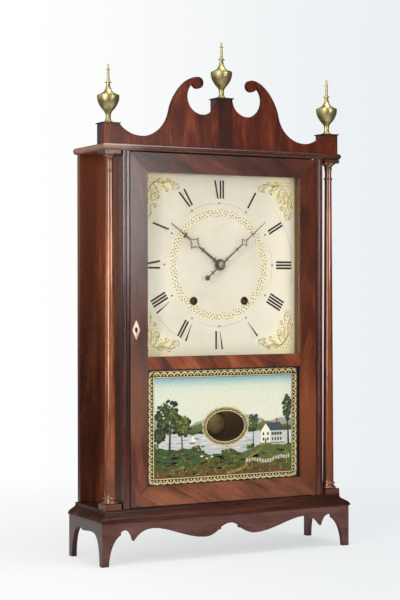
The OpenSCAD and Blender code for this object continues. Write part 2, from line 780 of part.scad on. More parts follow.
// Hand that points up, with the star halfway along it
module hand(len, hub, bar_w, star_w, star_l, bar_t) {
    mid = len * 0.52;
    plate_y(0, hand_t) circle(hub);
    plate_y(0, hand_t) taper(0, mid - star_l + 2, bar_w, bar_w * 0.6);
    plate_y(0, hand_t) taper(mid + star_l - 2, len, bar_w * 0.5, 0.8);
    plate_y(0, hand_t) translate([0, mid]) star(star_w, star_l, 1.1);
    plate_y(0, hand_t) cross_bar(13, bar_w + 4.5, 1.2);
    plate_y(0, hand_t) cross_bar(len * 0.355, bar_w + 4, 1.2);
    plate_y(0, hand_t) cross_bar(len * 0.71, bar_w + 4, bar_t);
}
hour_hand_y = y_dial - 4;
minute_hand_y = y_dial - 8;
centre_r = 1.6;
cannon_r = 3;
pipe_r = 4.6;
module hour_hand() {
    color(iron) difference() {
        translate([0, hour_hand_y, z_hand]) rotate([0, hour_angle, 0])
            hand(hour_len, 9, 4.6, 11.5, 13, 3);
        bar_y(0, z_hand, hour_hand_y - 1, hour_hand_y + 2, pipe_r);
    }
}
module minute_hand() {
    tail = 32;
    color(iron) difference() {
        translate([0, minute_hand_y, z_hand]) rotate([0, minute_angle, 0]) {
            hand(minute_len, 5.4, 3, 7.8, 8.5, 1.4);
            plate_y(0, hand_t) taper(-tail, 0, 1.8, 2.2);
            plate_y(0, hand_t) translate([0, -tail]) circle(4.2);
            plate_y(0, hand_t) cross_bar(-20, 7.5, 1.2);
        }
        bar_y(0, z_hand, minute_hand_y - 1, minute_hand_y + 2, cannon_r);
    }
}

// Gears

// Outline of a wheel; fill is the share of the pitch that a tooth takes
function gear_points(n, m, fill, phase) =
    let (r = pitch_r(n, m), root = r - 1.15 * m, tip = r + 0.85 * m, step = 360 / n)
    [for (i = [0:n - 1], k = [[root, -0.66], [tip, -0.3], [tip, 0.3], [root, 0.66]])
        let (a = phase + i * step + k[1] * fill * step) k[0] * [cos(a), sin(a)]];
wheel_fill = 0.46;
leaf_fill = 0.4;
module wheel_at(p, n, m, phase, y0, t) {
    plate_y(y0, t) translate(p) polygon(gear_points(n, m, wheel_fill, phase));
}
module pinion_at(p, m, phase, y0, t) {
    plate_y(y0, t) translate(p) polygon(gear_points(leaf_n, m, leaf_fill, phase));
}
// Arbor with a thin pivot in each plate
module arbor(p) {
    bar_y(p[0], p[1], y_gap0 + 0.3, y_gap1 - 0.3, arbor_r);
    bar_y(p[0], p[1], y_gap0 - mplate_t + 1, y_gap1 + mplate_t - 1, pivot_end_r);
}

// Motion work behind the dial: cannon pinion, minute wheel and hour wheel
minute_p = [0, z_hand + motion_a];
motion_m1 = 2 * motion_a / (24 + leaf_n);
motion_m2 = 2 * motion_a / (32 + leaf_n);
cannon_y = y_fplate - 5;
hour_y = y_fplate - 9;
module cannon_pinion() {
    color(cherry) difference() {
        union() {
            pinion_at([0, z_hand], motion_m1, 90, cannon_y, 3.5);
            bar_y(0, z_hand, minute_hand_y - 1.2, y_fplate - 0.3, cannon_r);
        }
        bar_y(0, z_hand, minute_hand_y - 2, y_fplate, centre_r + run);
    }
}
module minute_wheel() {
    color(cherry) {
        wheel_at(minute_p, 24, motion_m1, 270 + 7.5, cannon_y + 0.5, 2.5);
        pinion_at(minute_p, motion_m2, 270, hour_y - 0.5, 5 + eps);
        bar_y(0, minute_p[1], cannon_y + 3 - eps, y_fplate - 0.3, 2.5);
        bar_y(0, minute_p[1], y_fplate - 0.3 - eps, y_gap0 - 1, pivot_end_r);
    }
}
module hour_wheel() {
    color(cherry) difference() {
        union() {
            wheel_at([0, z_hand], 32, motion_m2, 90 + 180 / 32, hour_y, 2.5);
            bar_y(0, z_hand, hour_hand_y - 1, hour_y + eps, pipe_r);
        }
        bar_y(0, z_hand, hour_hand_y - 2, hour_y + 3, cannon_r + run);
    }
}

// Movement

module plate_holes(y0) {
    y1 = y0 + mplate_t;
    for (s = [-1, 1]) bar_y(s * great_p[0], great_p[1], y0 - 1, y1 + 1, drum_arbor_r + run);
    for (p = [second_p, third_p, escape_p, hammer_p])
        bar_y(p[0], p[1], y0 - 1, y1 + 1, pivot_end_r + run);
}
module plate_body(y0) {
    c = 6;
    x = plate_span / 2;
    plate_y(y0, mplate_t) polygon([[-x, z_plate0 + c], [-x, z_plate1 - c], [-x + c, z_plate1],
        [x - c, z_plate1], [x, z_plate1 - c], [x, z_plate0 + c], [x - c, z_plate0],
        [-x + c, z_plate0]]);
}
pillar_inset = 12;
pillar_high_x = 55;
pillar_low_x = 74;
pillar_places = [[-pillar_high_x, z_plate1 - pillar_inset],
    [pillar_high_x, z_plate1 - pillar_inset], [-pillar_low_x, z_plate0 + pillar_inset],
    [pillar_low_x, z_plate0 + pillar_inset]];
tenon_r = 4;
module front_plate() {
    color(cherry) difference() {
        plate_body(y_fplate);
        plate_holes(y_fplate);
        bar_y(0, z_hand, y_fplate - 1, y_gap0 + 1, centre_r + run);
        bar_y(0, minute_p[1], y_fplate - 1, y_gap0 + 1, pivot_end_r + run);
        bar_y(0, verge_z, y_fplate - 1, y_gap0 + 1, verge_pin_r + run);
        bar_y(0, suspension_z, y_fplate - 1, y_gap0 + 1, post_r);
        for (p = pillar_places) bar_y(p[0], p[1], y_fplate - 1, y_gap0 + 1, tenon_r + run);
    }
}
// Back plate with its four turned pillars, whose tenons pass the front plate
module back_plate() {
    color(cherry) difference() {
        union() {
            plate_body(y_gap1);
            for (p = pillar_places) translate([p[0], y_gap1 + eps, p[1]])
                rotate([90, 0, 0]) rotate_extrude() polygon([[0, 0], [7, 0], [7, 3], [5, 5],
                    [6.5, plate_gap / 2], [5, plate_gap - 5], [7, plate_gap - 3],
                    [7, plate_gap], [tenon_r, plate_gap], [tenon_r, plate_gap + mplate_t + 2.5],
                    [0, plate_gap + mplate_t + 2.5]]);
        }
        plate_holes(y_gap1);
        bar_y(0, z_hand, y_gap1 - 1, y_gap1 + mplate_t + 1, centre_r + run);
    }
}
function great_phase() = heading(great_p, second_p);
module time_great_wheel() {
    color(cherry) difference() {
        wheel_at(great_p, great_n, great_m, great_phase(), great_y0, great_t);
        bar_y(great_p[0], great_p[1], great_y0 - 1, great_y0 + great_t + 1,
            drum_arbor_r + run);
    }
}
module strike_great_wheel() { mirror([1, 0, 0]) time_great_wheel(); }
// Drum on its winding arbor; the arbor is squared behind the dial
module drum() {
    square_y = y_dial + dial_t;
    flange = drum_r + 2.5;
    color(cherry) {
        bar_y(wind_x, z_wind, drum_y0, drum_y0 + drum_w, drum_r);
        for (y = [drum_y0 - 1.5, drum_y0 + drum_w])
            bar_y(wind_x, z_wind, y, y + 1.5, flange);
        bar_y(wind_x, z_wind, square_y + 2, y_bplate - 1, drum_arbor_r);
        box(wind_x - 2, wind_x + 2, y_dial + 2, square_y + 3, z_wind - 2, z_wind + 2);
    }
}
module time_drum() { drum(); }
module strike_drum() { mirror([1, 0, 0]) drum(); }

// Centre wheel; the cannon pinion turns on the front of its arbor
module centre_wheel() {
    hand_c = [0, z_hand];
    color(cherry) {
        wheel_at(hand_c, centre_n, centre_m, heading(hand_c, second_p) + 180 / centre_n,
            centre_y0, centre_t);
        bar_y(0, z_hand, minute_hand_y - 3, y_gap1 + mplate_t - 1, centre_r);
        bar_y(0, z_hand, centre_y0 - 4, centre_y0 + centre_t + 3, 5);
    }
}
module second_wheel() {
    color(cherry) {
        wheel_at(second_p, second_n, second_m, heading(second_p, third_p), second_y0, 3);
        pinion_at(second_p, great_m, heading(second_p, great_p) + 180 / leaf_n,
            great_y0 - 1, great_t + 2);
        pinion_at(second_p, centre_m, heading(second_p, [0, z_hand]), centre_y0 - 1,
            centre_t + 2);
        arbor(second_p);
    }
}
module third_wheel() {
    color(cherry) {
        wheel_at(third_p, third_n, third_m, heading(third_p, escape_p), third_y0, wheel_t);
        pinion_at(third_p, second_m, heading(third_p, second_p) + 180 / leaf_n,
            second_y0 - 1, 5);
        arbor(third_p);
    }
}
// Escape wheel in front of the front plate, its pinion between the plates
module escape_wheel() {
    step = 360 / escape_n;
    color(cherry) {
        plate_y(escape_y, escape_t) translate(escape_p) polygon(
            [for (i = [0:escape_n - 1], k = [[escape_r - 4, -2.6], [escape_r, -0.3],
                [escape_r, 0.3], [escape_r - 4, 2.6]])
                let (a = 90 + i * step + k[1]) k[0] * [cos(a), sin(a)]]);
        pinion_at(escape_p, third_m, heading(escape_p, third_p) + 180 / leaf_n,
            third_y0 - 1, wheel_t + 2);
        arbor(escape_p);
        bar_y(0, escape_p[1], y_fplate - 0.3, y_gap0 + 1, pivot_end_r);
        bar_y(0, escape_p[1], escape_y + escape_t - eps, y_fplate - 0.3, 3);
    }
}

// Verge, pendulum and bell

verge_pin_r = 1.6;
post_r = 2.4;
module verge() {
    h = pallet_span / 2;
    crutch_y = escape_y - 1.7;
    color(steel) {
        plate_y(escape_y, escape_t) {
            intersection() {
                translate(escape_p) difference() {
                    circle(26.5);
                    circle(24);
                }
                translate(escape_p) polygon(concat([[0, 0]], arc([0, 0], 30, 90 - h - 2,
                    90 + h + 2, 6)));
            }
            for (s = [-1, 1]) translate(escape_p) rotate(-s * h)
                translate([-0.3, escape_r + pallet_gap]) square([0.6, 3]);
            translate([0, verge_z]) circle(3);
        }
        bar_y(0, verge_z, escape_y + escape_t - eps, y_gap0 - 1, verge_pin_r);
        bar_y(0, verge_z, crutch_y, escape_y + eps, 3);
        box(-1.2, 1.2, crutch_y, crutch_y + 1.4, verge_z - crutch_drop - 2, verge_z);
        for (s = [-1, 1]) translate([s * (rod_r + 1), rod_y + 0.4, verge_z - crutch_drop])
            cube([1.2, 4.6, 4], center = true);
        box(-rod_r - 1.6, rod_r + 1.6, crutch_y, crutch_y + 1.2, verge_z - crutch_drop - 2,
            verge_z - crutch_drop + 2);
    }
}
// Post in the front plate, with the pendulum's suspension strip in its slot
module pendulum_post() {
    color(steel) difference() {
        bar_y(0, suspension_z, rod_y - 3, y_gap0 - 1, post_r);
        box(-0.4, 0.4, rod_y - 2, rod_y + 2, suspension_z - 3, suspension_z + 3);
    }
}
module pendulum_rod() {
    strip = 14;
    nut = 2.5;
    color(steel) {
        box(-0.2, 0.2, rod_y - 1.5, rod_y + 1.5, suspension_z - strip, suspension_z + 1);
        translate([0, rod_y, bob_z - bob_r - nut])
            cylinder(r = rod_r, h = suspension_z - strip + 3 - bob_z + bob_r + nut);
        translate([0, rod_y, bob_z - bob_r - nut]) cylinder(r = 2.6, h = nut);
    }
}
// Lens-shaped bob that slides on the rod and rests on its rating nut
module pendulum_bob() {
    color(brass) difference() {
        translate([0, rod_y, bob_z]) rotate([90, 0, 0]) rotate_extrude() polygon(concat(
            [[0, -bob_t / 2]],
            curve([0, -bob_t / 2], [bob_r * 0.5, -bob_t / 2], [bob_r * 0.8, -bob_t / 3],
                [bob_r, -0.6], 6),
            curve([bob_r, 0.6], [bob_r * 0.8, bob_t / 3], [bob_r * 0.5, bob_t / 2],
                [0, bob_t / 2], 6)));
        translate([0, rod_y, bob_z - bob_r - 1]) cylinder(r = rod_r + 0.02, h = 2 * bob_r + 2);
    }
}
module bell() {
    wall = 2;
    k = bell_r;
    color(brass) translate([0, bell_crown_y, bell_z]) rotate([90, 0, 0]) rotate_extrude()
        polygon(concat([[2 + run, 0]],
            curve([2 + run, 0], [k * 0.6, 0], [k * 0.86, bell_h * 0.25],
                [k * 0.88, bell_h * 0.6], 8),
            curve([k * 0.88, bell_h * 0.6], [k * 0.9, bell_h * 0.8], [k, bell_h],
                [k, bell_h], 5),
            curve([k - wall, bell_h], [k - wall, bell_h], [k * 0.88 - wall, bell_h * 0.8],
                [k * 0.88 - wall, bell_h * 0.6], 5),
            curve([k * 0.88 - wall, bell_h * 0.6], [k * 0.84 - wall, bell_h * 0.3],
                [k * 0.55, wall], [2 + run, wall], 8)));
}
// Stud that carries the bell off the back board, with a nut inside the bell
module bell_stud() {
    color(steel) {
        bar_y(0, bell_z, bell_crown_y - 5, y_back - 1, 2);
        bar_y(0, bell_z, bell_crown_y, y_in, 5);
        translate([0, bell_crown_y - 2.15, bell_z]) rotate([90, 0, 0])
            cylinder(r = 5, h = 3, $fn = 6);
    }
}
module hammer() {
    y0 = bell_crown_y - bell_h + 3;
    shank_r = 1.2;
    tail_r = 1;
    hub_r = 4;
    head = [0, bell_z] + (bell_r + hammer_r + strike_gap) * [cos(strike_angle),
        sin(strike_angle)];
    turn = heading(hammer_p, head);
    reach = norm(head - hammer_p);
    color(steel) {
        arbor(hammer_p);
        bar_y(hammer_p[0], hammer_p[1], y0 - hub_r, y0 + hub_r, hub_r);
        translate([hammer_p[0], y0, hammer_p[1]]) rotate([0, 90 - turn, 0])
            cylinder(r = shank_r, h = reach);
        bar_y(head[0], head[1], y0 - hammer_r, y0 + hammer_r, hammer_r);
        translate([hammer_p[0], y0, hammer_p[1]]) rotate([0, 180, 0])
            cylinder(r = tail_r, h = hammer_tail);
    }
}

// Weights and cords

module pulley_bracket() {
    cheek = 4;
    cheek_w = 18;
    x0 = pulley_x - cheek_w / 2;
    gap = pulley_t / 2 + 0.5;
    z0 = pulley_z - 2 * cheek;
    color(pine) {
        for (y = [line_y - gap - cheek, line_y + gap])
            box(x0, x0 + cheek_w, y, y + cheek, z0, z_corn);
        box(x0, x0 + cheek_w, line_y - gap - cheek, line_y + gap + cheek, z_corn - cheek, z_corn);
        bar_y(pulley_x, pulley_z, line_y - gap - cheek, line_y + gap + cheek, 2);
    }
}
module pulley_brackets() { both_sides() pulley_bracket(); }
module pulley() {
    groove = pulley_r - cord_r - 0.3;
    rim = pulley_r + cord_r;
    color(cherry) translate([pulley_x, line_y, pulley_z]) rotate([90, 0, 0]) rotate_extrude()
        polygon([[2 + run, -pulley_t / 2], [rim, -pulley_t / 2], [rim, -cord_r - 1.4],
            [groove, -cord_r - 0.2], [groove, cord_r + 0.2], [rim, cord_r + 1.4],
            [rim, pulley_t / 2], [2 + run, pulley_t / 2]]);
}
module time_pulley() { pulley(); }
module strike_pulley() { mirror([1, 0, 0]) pulley(); }

// Cord from the drum up to the pulley and over it
module cord_run() {
    slack = 0.3;
    lead = drum_r + cord_r + slack;
    drum_c = [wind_x, z_wind];
    pulley_c = [pulley_x, pulley_z];
    turn = heading(drum_c, pulley_c) - asin((lead - pulley_r) / norm(pulley_c - drum_c));
    side = [cos(turn + 90), sin(turn + 90)];
    a = drum_c + lead * side;
    b = pulley_c + pulley_r * side;
    color(cream) {
        translate([a[0], line_y, a[1]]) rotate([0, 90 - heading(a, b), 0])
            cylinder(r = cord_r, h = norm(b - a) - 0.05, $fn = 24);
        translate([pulley_x, line_y, pulley_z]) rotate([90, 0, 0])
            rotate_extrude(angle = turn + 90) translate([pulley_r, 0]) circle(cord_r, $fn = 24);
    }
}
module cord_runs() { both_sides() cord_run(); }
module cord_drop() {
    color(cream) translate([weight_x, line_y, cord_z0])
        cylinder(r = cord_r, h = pulley_z - cord_z0, $fn = 24);
}
module time_cord() { cord_drop(); }
module strike_cord() { mirror([1, 0, 0]) cord_drop(); }
// Cast cylinder with rounded shoulders and an eye for the cord
module weight() {
    r = weight_r;
    h = weight_h;
    color(iron) translate([weight_x, line_y, 0]) {
        translate([0, 0, weight_z0]) rotate_extrude() polygon(concat([[0, 0], [r - 2, 0], [r, 2]],
            curve([r, h - 12], [r, h - 5], [r - 8, h], [6, h], 6), [[0, h]]));
        translate([0, 0, hook_z]) rotate([90, 0, 0]) rotate_extrude()
            translate([hook_r, 0]) circle(hook_wire);
    }
}
module time_weight() { weight(); }
module strike_weight() { mirror([1, 0, 0]) weight(); }

base_front();
base_side_left();
base_side_right();
base_top();
backboard();
case_side_left();
case_side_right();
jamb_beads();
cornice();
column_left();
column_right();
column_blocks();
scroll_board();
finial_blocks();
finial_plates();
finials();
inner_rails();
dial_board();
winding_bushes();
door_stile_left();
door_stile_right();
door_rail_top();
door_rail_middle();
door_rail_bottom();
dial_glass();
tablet_glass();
door_pivots();
keyhole_escutcheon();
door_lock();
lock_bolt();
minute_hand();
cannon_pinion();
minute_wheel();
hour_hand();
hour_wheel();
front_plate();
back_plate();
time_great_wheel();
strike_great_wheel();
time_drum();
strike_drum();
centre_wheel();
second_wheel();
third_wheel();
escape_wheel();
verge();
pendulum_post();
pendulum_rod();
pendulum_bob();
hammer();
bell();
bell_stud();
pulley_brackets();
time_pulley();
strike_pulley();
cord_runs();
time_cord();
strike_cord();
time_weight();
strike_weight();
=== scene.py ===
# %% [markdown]
# # A pillar and scroll shelf clock
# The model comes from the CAD as a fixed frame: every board, gear and joint already has its
# real size and place. This file dresses it: timber, brass, paint and glass get their finishes,
# and the small work that CAD leaves out, such as the painted dial and tablet, is modelled here.
# Everything is in metres, +Z is up, and the dial looks towards -Y.

# %% Load the frame
import bpy
import bmesh
import json
import math
import random
from mathutils import Matrix, Vector


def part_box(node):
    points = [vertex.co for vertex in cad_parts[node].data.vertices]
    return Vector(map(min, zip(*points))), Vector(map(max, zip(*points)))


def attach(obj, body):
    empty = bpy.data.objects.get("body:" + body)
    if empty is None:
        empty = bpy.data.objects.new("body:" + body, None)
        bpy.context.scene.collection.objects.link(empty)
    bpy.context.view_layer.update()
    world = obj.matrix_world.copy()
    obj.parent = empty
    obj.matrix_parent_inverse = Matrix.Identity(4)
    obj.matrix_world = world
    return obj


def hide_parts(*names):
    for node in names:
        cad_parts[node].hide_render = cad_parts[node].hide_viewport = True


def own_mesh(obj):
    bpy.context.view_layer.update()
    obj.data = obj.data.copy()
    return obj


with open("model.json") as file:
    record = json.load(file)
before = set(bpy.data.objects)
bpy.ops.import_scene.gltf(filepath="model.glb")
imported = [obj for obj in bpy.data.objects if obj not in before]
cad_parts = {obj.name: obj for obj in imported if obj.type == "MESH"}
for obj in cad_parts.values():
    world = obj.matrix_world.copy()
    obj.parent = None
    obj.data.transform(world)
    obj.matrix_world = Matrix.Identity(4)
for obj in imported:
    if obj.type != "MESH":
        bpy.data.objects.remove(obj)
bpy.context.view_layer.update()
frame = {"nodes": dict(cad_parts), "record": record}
nodes = frame["nodes"]

# %% [markdown]
# ## The camera
# The photograph was taken from the clock's left front, a little under half its height. Fitting
# the straight edges of base, cornice and door gave the place, the angles and the lens.

# %% Place the camera
IMAGE_HEIGHT_PX, FOCAL_PX = 600, 1560.3
CAMERA_PLACE = (-1.17757, -2.16665, 0.41132)
YAW, PITCH, ROLL = 28.095, -0.358, -0.058


def look(yaw, pitch, roll):
    """Turns a camera to a compass angle, a tilt and a lean, in degrees."""
    yaw, pitch, roll = (math.radians(a) for a in (yaw, pitch, roll))
    ahead = Vector((math.sin(yaw) * math.cos(pitch), math.cos(yaw) * math.cos(pitch), math.sin(pitch)))
    right = Vector((math.cos(yaw), -math.sin(yaw), 0))
    up = right.cross(ahead)
    leaned = right * math.cos(roll) + up * math.sin(roll)
    return Matrix((leaned, leaned.cross(ahead), -ahead)).transposed()


lens = bpy.data.cameras.new("camera")
lens.sensor_width = 36
lens.lens = FOCAL_PX * lens.sensor_width / IMAGE_HEIGHT_PX
camera = bpy.data.objects.new("camera", lens)
camera.matrix_world = Matrix.Translation(CAMERA_PLACE) @ look(YAW, PITCH, ROLL).to_4x4()
bpy.context.scene.collection.objects.link(camera)
bpy.context.scene.camera = camera
print("lens", round(lens.lens, 2), "mm")

# %% [markdown]
# ## Shader sums as Python
# A material is a graph of nodes. Wrapping a socket in a small class lets a mask be written as
# `1 - rings * 0.4`, and the Math nodes appear by themselves.

# %% Wrap sockets


class Wire:
    """An output socket that takes part in arithmetic."""

    def __init__(self, tree, socket):
        self.tree, self.socket = tree, socket

    def math(self, operation, *values):
        return node(self.tree, "ShaderNodeMath", {"operation": operation}, *values)

    def __add__(self, other):
        return self.math("ADD", self, other)

    __radd__ = __add__

    def __sub__(self, other):
        return self.math("SUBTRACT", self, other)

    def __rsub__(self, other):
        return self.math("SUBTRACT", other, self)

    def __mul__(self, other):
        return self.math("MULTIPLY", self, other)

    __rmul__ = __mul__

    def __truediv__(self, other):
        return self.math("DIVIDE", self, other)

    def __pow__(self, other):
        return self.math("POWER", self, other)

    def __abs__(self):
        return self.math("ABSOLUTE", self)

    def __gt__(self, other):
        return self.math("GREATER_THAN", self, other)

    def step(self, low, high):
        """0 below low and 1 above high, with a soft rise between."""
        return node(self.tree, "ShaderNodeMapRange", {"interpolation_type": "SMOOTHSTEP"}, self, low, high)


def feed(tree, socket, value):
    """Links a Wire to an input socket, or writes a plain value on it; None leaves it alone."""
    if isinstance(value, Wire):
        tree.links.new(value.socket, socket)
    elif value is not None:
        socket.default_value = (*value, 1)[:4] if socket.type == "RGBA" else value


def set_stops(ramp, stops):
    """Gives a colour ramp its (place, colour) stops."""
    while len(ramp) < len(stops):
        ramp.new(0.5)
    for stop, (place, colour) in zip(ramp, stops):
        stop.position, stop.color = place, (*colour, 1)


def node(tree, kind, settings=None, *inputs, out=0, **named):
    """Adds a node: its settings first, then the values or links of its sockets."""
    made = tree.nodes.new(kind)
    for key, value in (settings or {}).items():
        if key == "stops":
            set_stops(made.color_ramp.elements, value)
        else:
            setattr(made, key, value)
    for key, value in enumerate(inputs):
        feed(tree, made.inputs[key], value)
    for key, value in named.items():
        feed(tree, made.inputs[key.replace("_", " ")], value)
    return Wire(tree, made.outputs[out])


def mixed(tree, share, low, high, kind="MIX"):
    """Mixes two colours. The node's sockets 1 to 5 are for numbers and vectors and stay empty."""
    return node(tree, "ShaderNodeMix", {"data_type": "RGBA", "blend_type": kind},
                share, *[None] * 5, low, high, out=2)


def hexed(code):
    """An sRGB colour such as 7a4a3a as linear values."""
    values = [int(code[i:i + 2], 16) / 255 for i in (0, 2, 4)]
    return tuple(v / 12.92 if v <= 0.04045 else ((v + 0.055) / 1.055) ** 2.4 for v in values)


print("7a4a3a in linear light is", [round(value, 3) for value in hexed("7a4a3a")])

# %% [markdown]
# ## Colours, patterns and a shell for each finish
# Every finish ends in one Principled shader. Helpers give the point on the piece, noise with a
# grain direction, a mix of colours, a net of cracks and a bump.

# %% Pattern helpers


class Finish:
    """A new material with its shader, and short names for the patterns used on it."""

    def __init__(self, name):
        self.material = bpy.data.materials.new(name)
        self.material.use_nodes = True
        self.tree = self.material.node_tree
        self.shader = next(n for n in self.tree.nodes if n.type == "BSDF_PRINCIPLED")
        self.point = node(self.tree, "ShaderNodeTexCoord", out="Object")

    def spread(self, scale, move=(0, 0, 0), lean=0.0):
        """The point on the piece, leant about Y by some degrees, then stretched and moved."""
        point = self.point
        if lean:
            point = node(self.tree, "ShaderNodeMapping", None, point, (0, 0, 0), (0, math.radians(lean), 0))
        return node(self.tree, "ShaderNodeMapping", None, point, move, (0, 0, 0), scale)

    def noise(self, scale, stretch=(1, 1, 1), detail=3, rough=0.5, move=(0, 0, 0), twist=0, lean=0.0):
        return node(self.tree, "ShaderNodeTexNoise", None, Vector=self.spread(stretch, move, lean),
                    Scale=scale, Detail=detail, Roughness=rough, Distortion=twist)

    def cracks(self, scale, width):
        """1 in the cracks between the cells of a net, and 0 on the cells."""
        edges = node(self.tree, "ShaderNodeTexVoronoi", {"feature": "DISTANCE_TO_EDGE"},
                     Vector=self.spread((1, 1, 1)), Scale=scale)
        return 1 - edges.step(0.0, width)

    def axis(self, letter):
        return node(self.tree, "ShaderNodeSeparateXYZ", None, self.point, out=letter)

    def mix(self, share, low, high, kind="MIX"):
        return mixed(self.tree, share, low, high, kind)

    def ramp(self, value, *stops):
        return node(self.tree, "ShaderNodeValToRGB", {"stops": stops}, value)

    def bump(self, height, distance, strength=1.0, onto=None):
        return node(self.tree, "ShaderNodeBump", None, Strength=strength, Distance=distance,
                    Height=height, Normal=onto)

    def soft_edges(self, radius):
        """Rounds the light on sharp edges, as a scraper and years of dusting do."""
        return node(self.tree, "ShaderNodeBevel", {"samples": 4}, Radius=radius)

    def set(self, **sockets):
        """Fills sockets of the Principled shader."""
        for key, value in sockets.items():
            feed(self.tree, self.shader.inputs[key.replace("_", " ")], value)

    def show(self, shader):
        """Puts another shader on the surface in place of the Principled one."""
        output = next(n for n in self.tree.nodes if n.type == "OUTPUT_MATERIAL")
        self.tree.links.new(shader.socket, output.inputs["Surface"])


print("patterns:", *[name for name in vars(Finish) if not name.startswith("_")])

# %% [markdown]
# ## Mahogany
# The case is mahogany and mahogany veneer under shellac. Along the grain run fine dark pores and
# broad streaks; across it a ribbon of lighter and darker bands comes and goes, which on the
# veneered rails becomes a flame. The grain follows each board, so the finish is made per board
# direction, with its own shift, and no two boards repeat each other.

# %% Make mahogany


def grain(along, length, across):
    """A stretch for noise that differs along the grain, which runs along X, Y or Z."""
    return tuple(length if letter == along else across for letter in "XYZ")


def mahogany(name, along, dark="1f0a05", mid="50200f", light="874b2b", figure=0.5, shift=0.0,
             gloss=0.24, coat=0.5, haze=0.2, lean=0.0, raw=None, sheen=0.22, stain_and_painted_light=None, tint="ffffff"):
    """Polished mahogany whose grain runs along X, Y or Z, leant by some degrees. raw tells from the finish
    where the board shows unpolished timber, and the mask for stains and painted light tells where another
    colour lies on it, which is a real stain on some boards and painted light on others. tint colours the wide
    sheen."""
    f = Finish(name)
    fine = grain(along, 1, 24)
    ribbon = {"X": (0.5, 1.5, 2.2), "Y": (1.5, 0.5, 2.2), "Z": (2.2, 1.5, 0.5)}[along]
    streaks = f.noise(11, grain(along, 0.3, 3), 4, 0.6, (shift, shift * 1.7, shift * 0.6), 0.6, lean)
    lines = f.noise(26, fine, 5, 0.65, (shift, 0, shift), 0, lean)
    bands = f.noise(14, ribbon, 3, 0.55, (shift * 2, shift, shift * 3), 1.4, lean)
    flecks = f.noise(190, (0.3, 1, 1) if along == "X" else (1, 1, 0.3), 2, 0.5, (0, shift, 0), 0, lean)
    tone = (streaks * (1 - figure) + bands * figure) * 0.72 + lines * 0.2 + flecks * 0.08
    colour = f.ramp(tone, (0.38, hexed(dark)), (0.53, hexed(mid)), (0.7, hexed(light)))
    pores = f.noise(60, tuple(v * 1.6 for v in fine), 2, 0.4, (shift, shift, 0), 0, lean).step(0.58, 0.7)
    colour = f.mix(pores * 0.6, colour, hexed("180704"))
    # Another colour over the grain: a real stain on some boards, painted light on others
    if stain_and_painted_light:
        share, other = stain_and_painted_light(f)
        colour = f.mix(share, colour, hexed(other))
    worn = f.noise(9, (1, 1, 1), 4, 0.6, (0, shift, 0))
    polish = 1.0
    if raw:
        bare = raw(f)
        timber = f.mix(lines * 0.7 + streaks * 0.3, hexed("6e543c"), hexed("c09a70"))
        colour, polish = f.mix(bare, colour, timber), 1 - bare
    f.set(Base_Color=colour, Roughness=worn * 0.16 + (gloss - 0.04),
          Coat_Weight=(worn * 0.3 + (coat - 0.2)) * polish, Coat_Roughness=haze,
          Specular_IOR_Level=sheen, Specular_Tint=hexed(tint),
          Normal=f.bump(lines * 0.7 + pores * -1.0, 0.00012, 0.45, f.soft_edges(0.0007)))
    return f.material


def dress(names, material):
    """Gives CAD nodes a finish."""
    for name in names.split():
        nodes[name].data.materials.clear()
        nodes[name].data.materials.append(material)
    print(material.name, "on", names)


print("noise along Z is stretched by", grain("Z", 1, 24))

# %% [markdown]
# The boards of a case are sawn along the grain, so it lies lengthwise in the base, the cornice and the column
# blocks, and upright in the sides, the beads, the columns and the scrolled board. Light, dust and wax have
# given every board its own colour over the years, so each takes three tones of its own. A board may also take
# a mask that lays another colour on it. On some boards this is a faded or darker area. On others it is
# painted light: a painted sheen on the cornice's left end, and painted light toward the top of the wings and
# sides. raw marks timber that was never polished.

# %% Dress the case boards
COLUMN_FOOT, COLUMN_HEAD = (corner[2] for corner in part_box("column_left"))
# How far from the middle the side boards' inner faces, the hidden part of the back board and the
# darker veneer reach, and the back board's rear face
SIDE_INNER, BACK_HIDDEN, DARK_VENEER = 0.16895, 0.1688, 0.01275
BACK_REAR = 0.0622


def column_ends(f):
    """Darker toward the foot and the capital of a column."""
    z = f.axis("Z")
    foot = 1 - z.step(COLUMN_FOOT + 0.012, COLUMN_FOOT + 0.10)
    return foot * 0.8 + z.step(COLUMN_HEAD - 0.14, COLUMN_HEAD - 0.03) * 0.75, "4c2b20"


def painted_top_light(f):
    """Painted light: the wings and the sides are lighter toward the top, where the light from the left
    reaches them.
    """
    return f.axis("Z").step(0.25, 0.6) * 0.34, "8c4e32"


def painted_end_sheen(f):
    """Painted reflection: the left end of the cornice is paler, standing in for the light it mirrors there.
    """
    return (1 - f.axis("X").step(-0.19, -0.13)) * 0.42, "b48e78"


def middle_block(f):
    """The darker veneer in the middle of the scroll board, as wide as the block behind it."""
    return (abs(f.axis("X")) * -1 > -DARK_VENEER) * 0.8, "280d07"


def left_inside(f):
    """The inner face of the left side board."""
    return f.axis("X") > -SIDE_INNER


def right_inside(f):
    """The inner face of the right side board."""
    return f.axis("X") * -1 > -SIDE_INNER


def back_inside(f):
    """The back board's rear face, and its front where the case hides it."""
    return ((f.axis("Y") > BACK_REAR) + (abs(f.axis("X")) * -1 > -BACK_HIDDEN)).step(0, 1)


dress("base_front", mahogany("base_front_mahogany", "X", "39201a", "5b3b34", "79534a", 0.35, 1.3,
                             0.3, 0.15, 0.3, sheen=0.1))
dress("base_side_left", mahogany("base_left_mahogany", "Y", "160805", "371810", "563226", 0.3, 2.1))
dress("base_side_right", mahogany("base_right_mahogany", "Y", figure=0.3, shift=3.7))
dress("base_top", mahogany("base_top_mahogany", "X", "180804", "36160d", "56301f", 0.3, 4.2, 0.26, 0.24,
                           sheen=0.1))
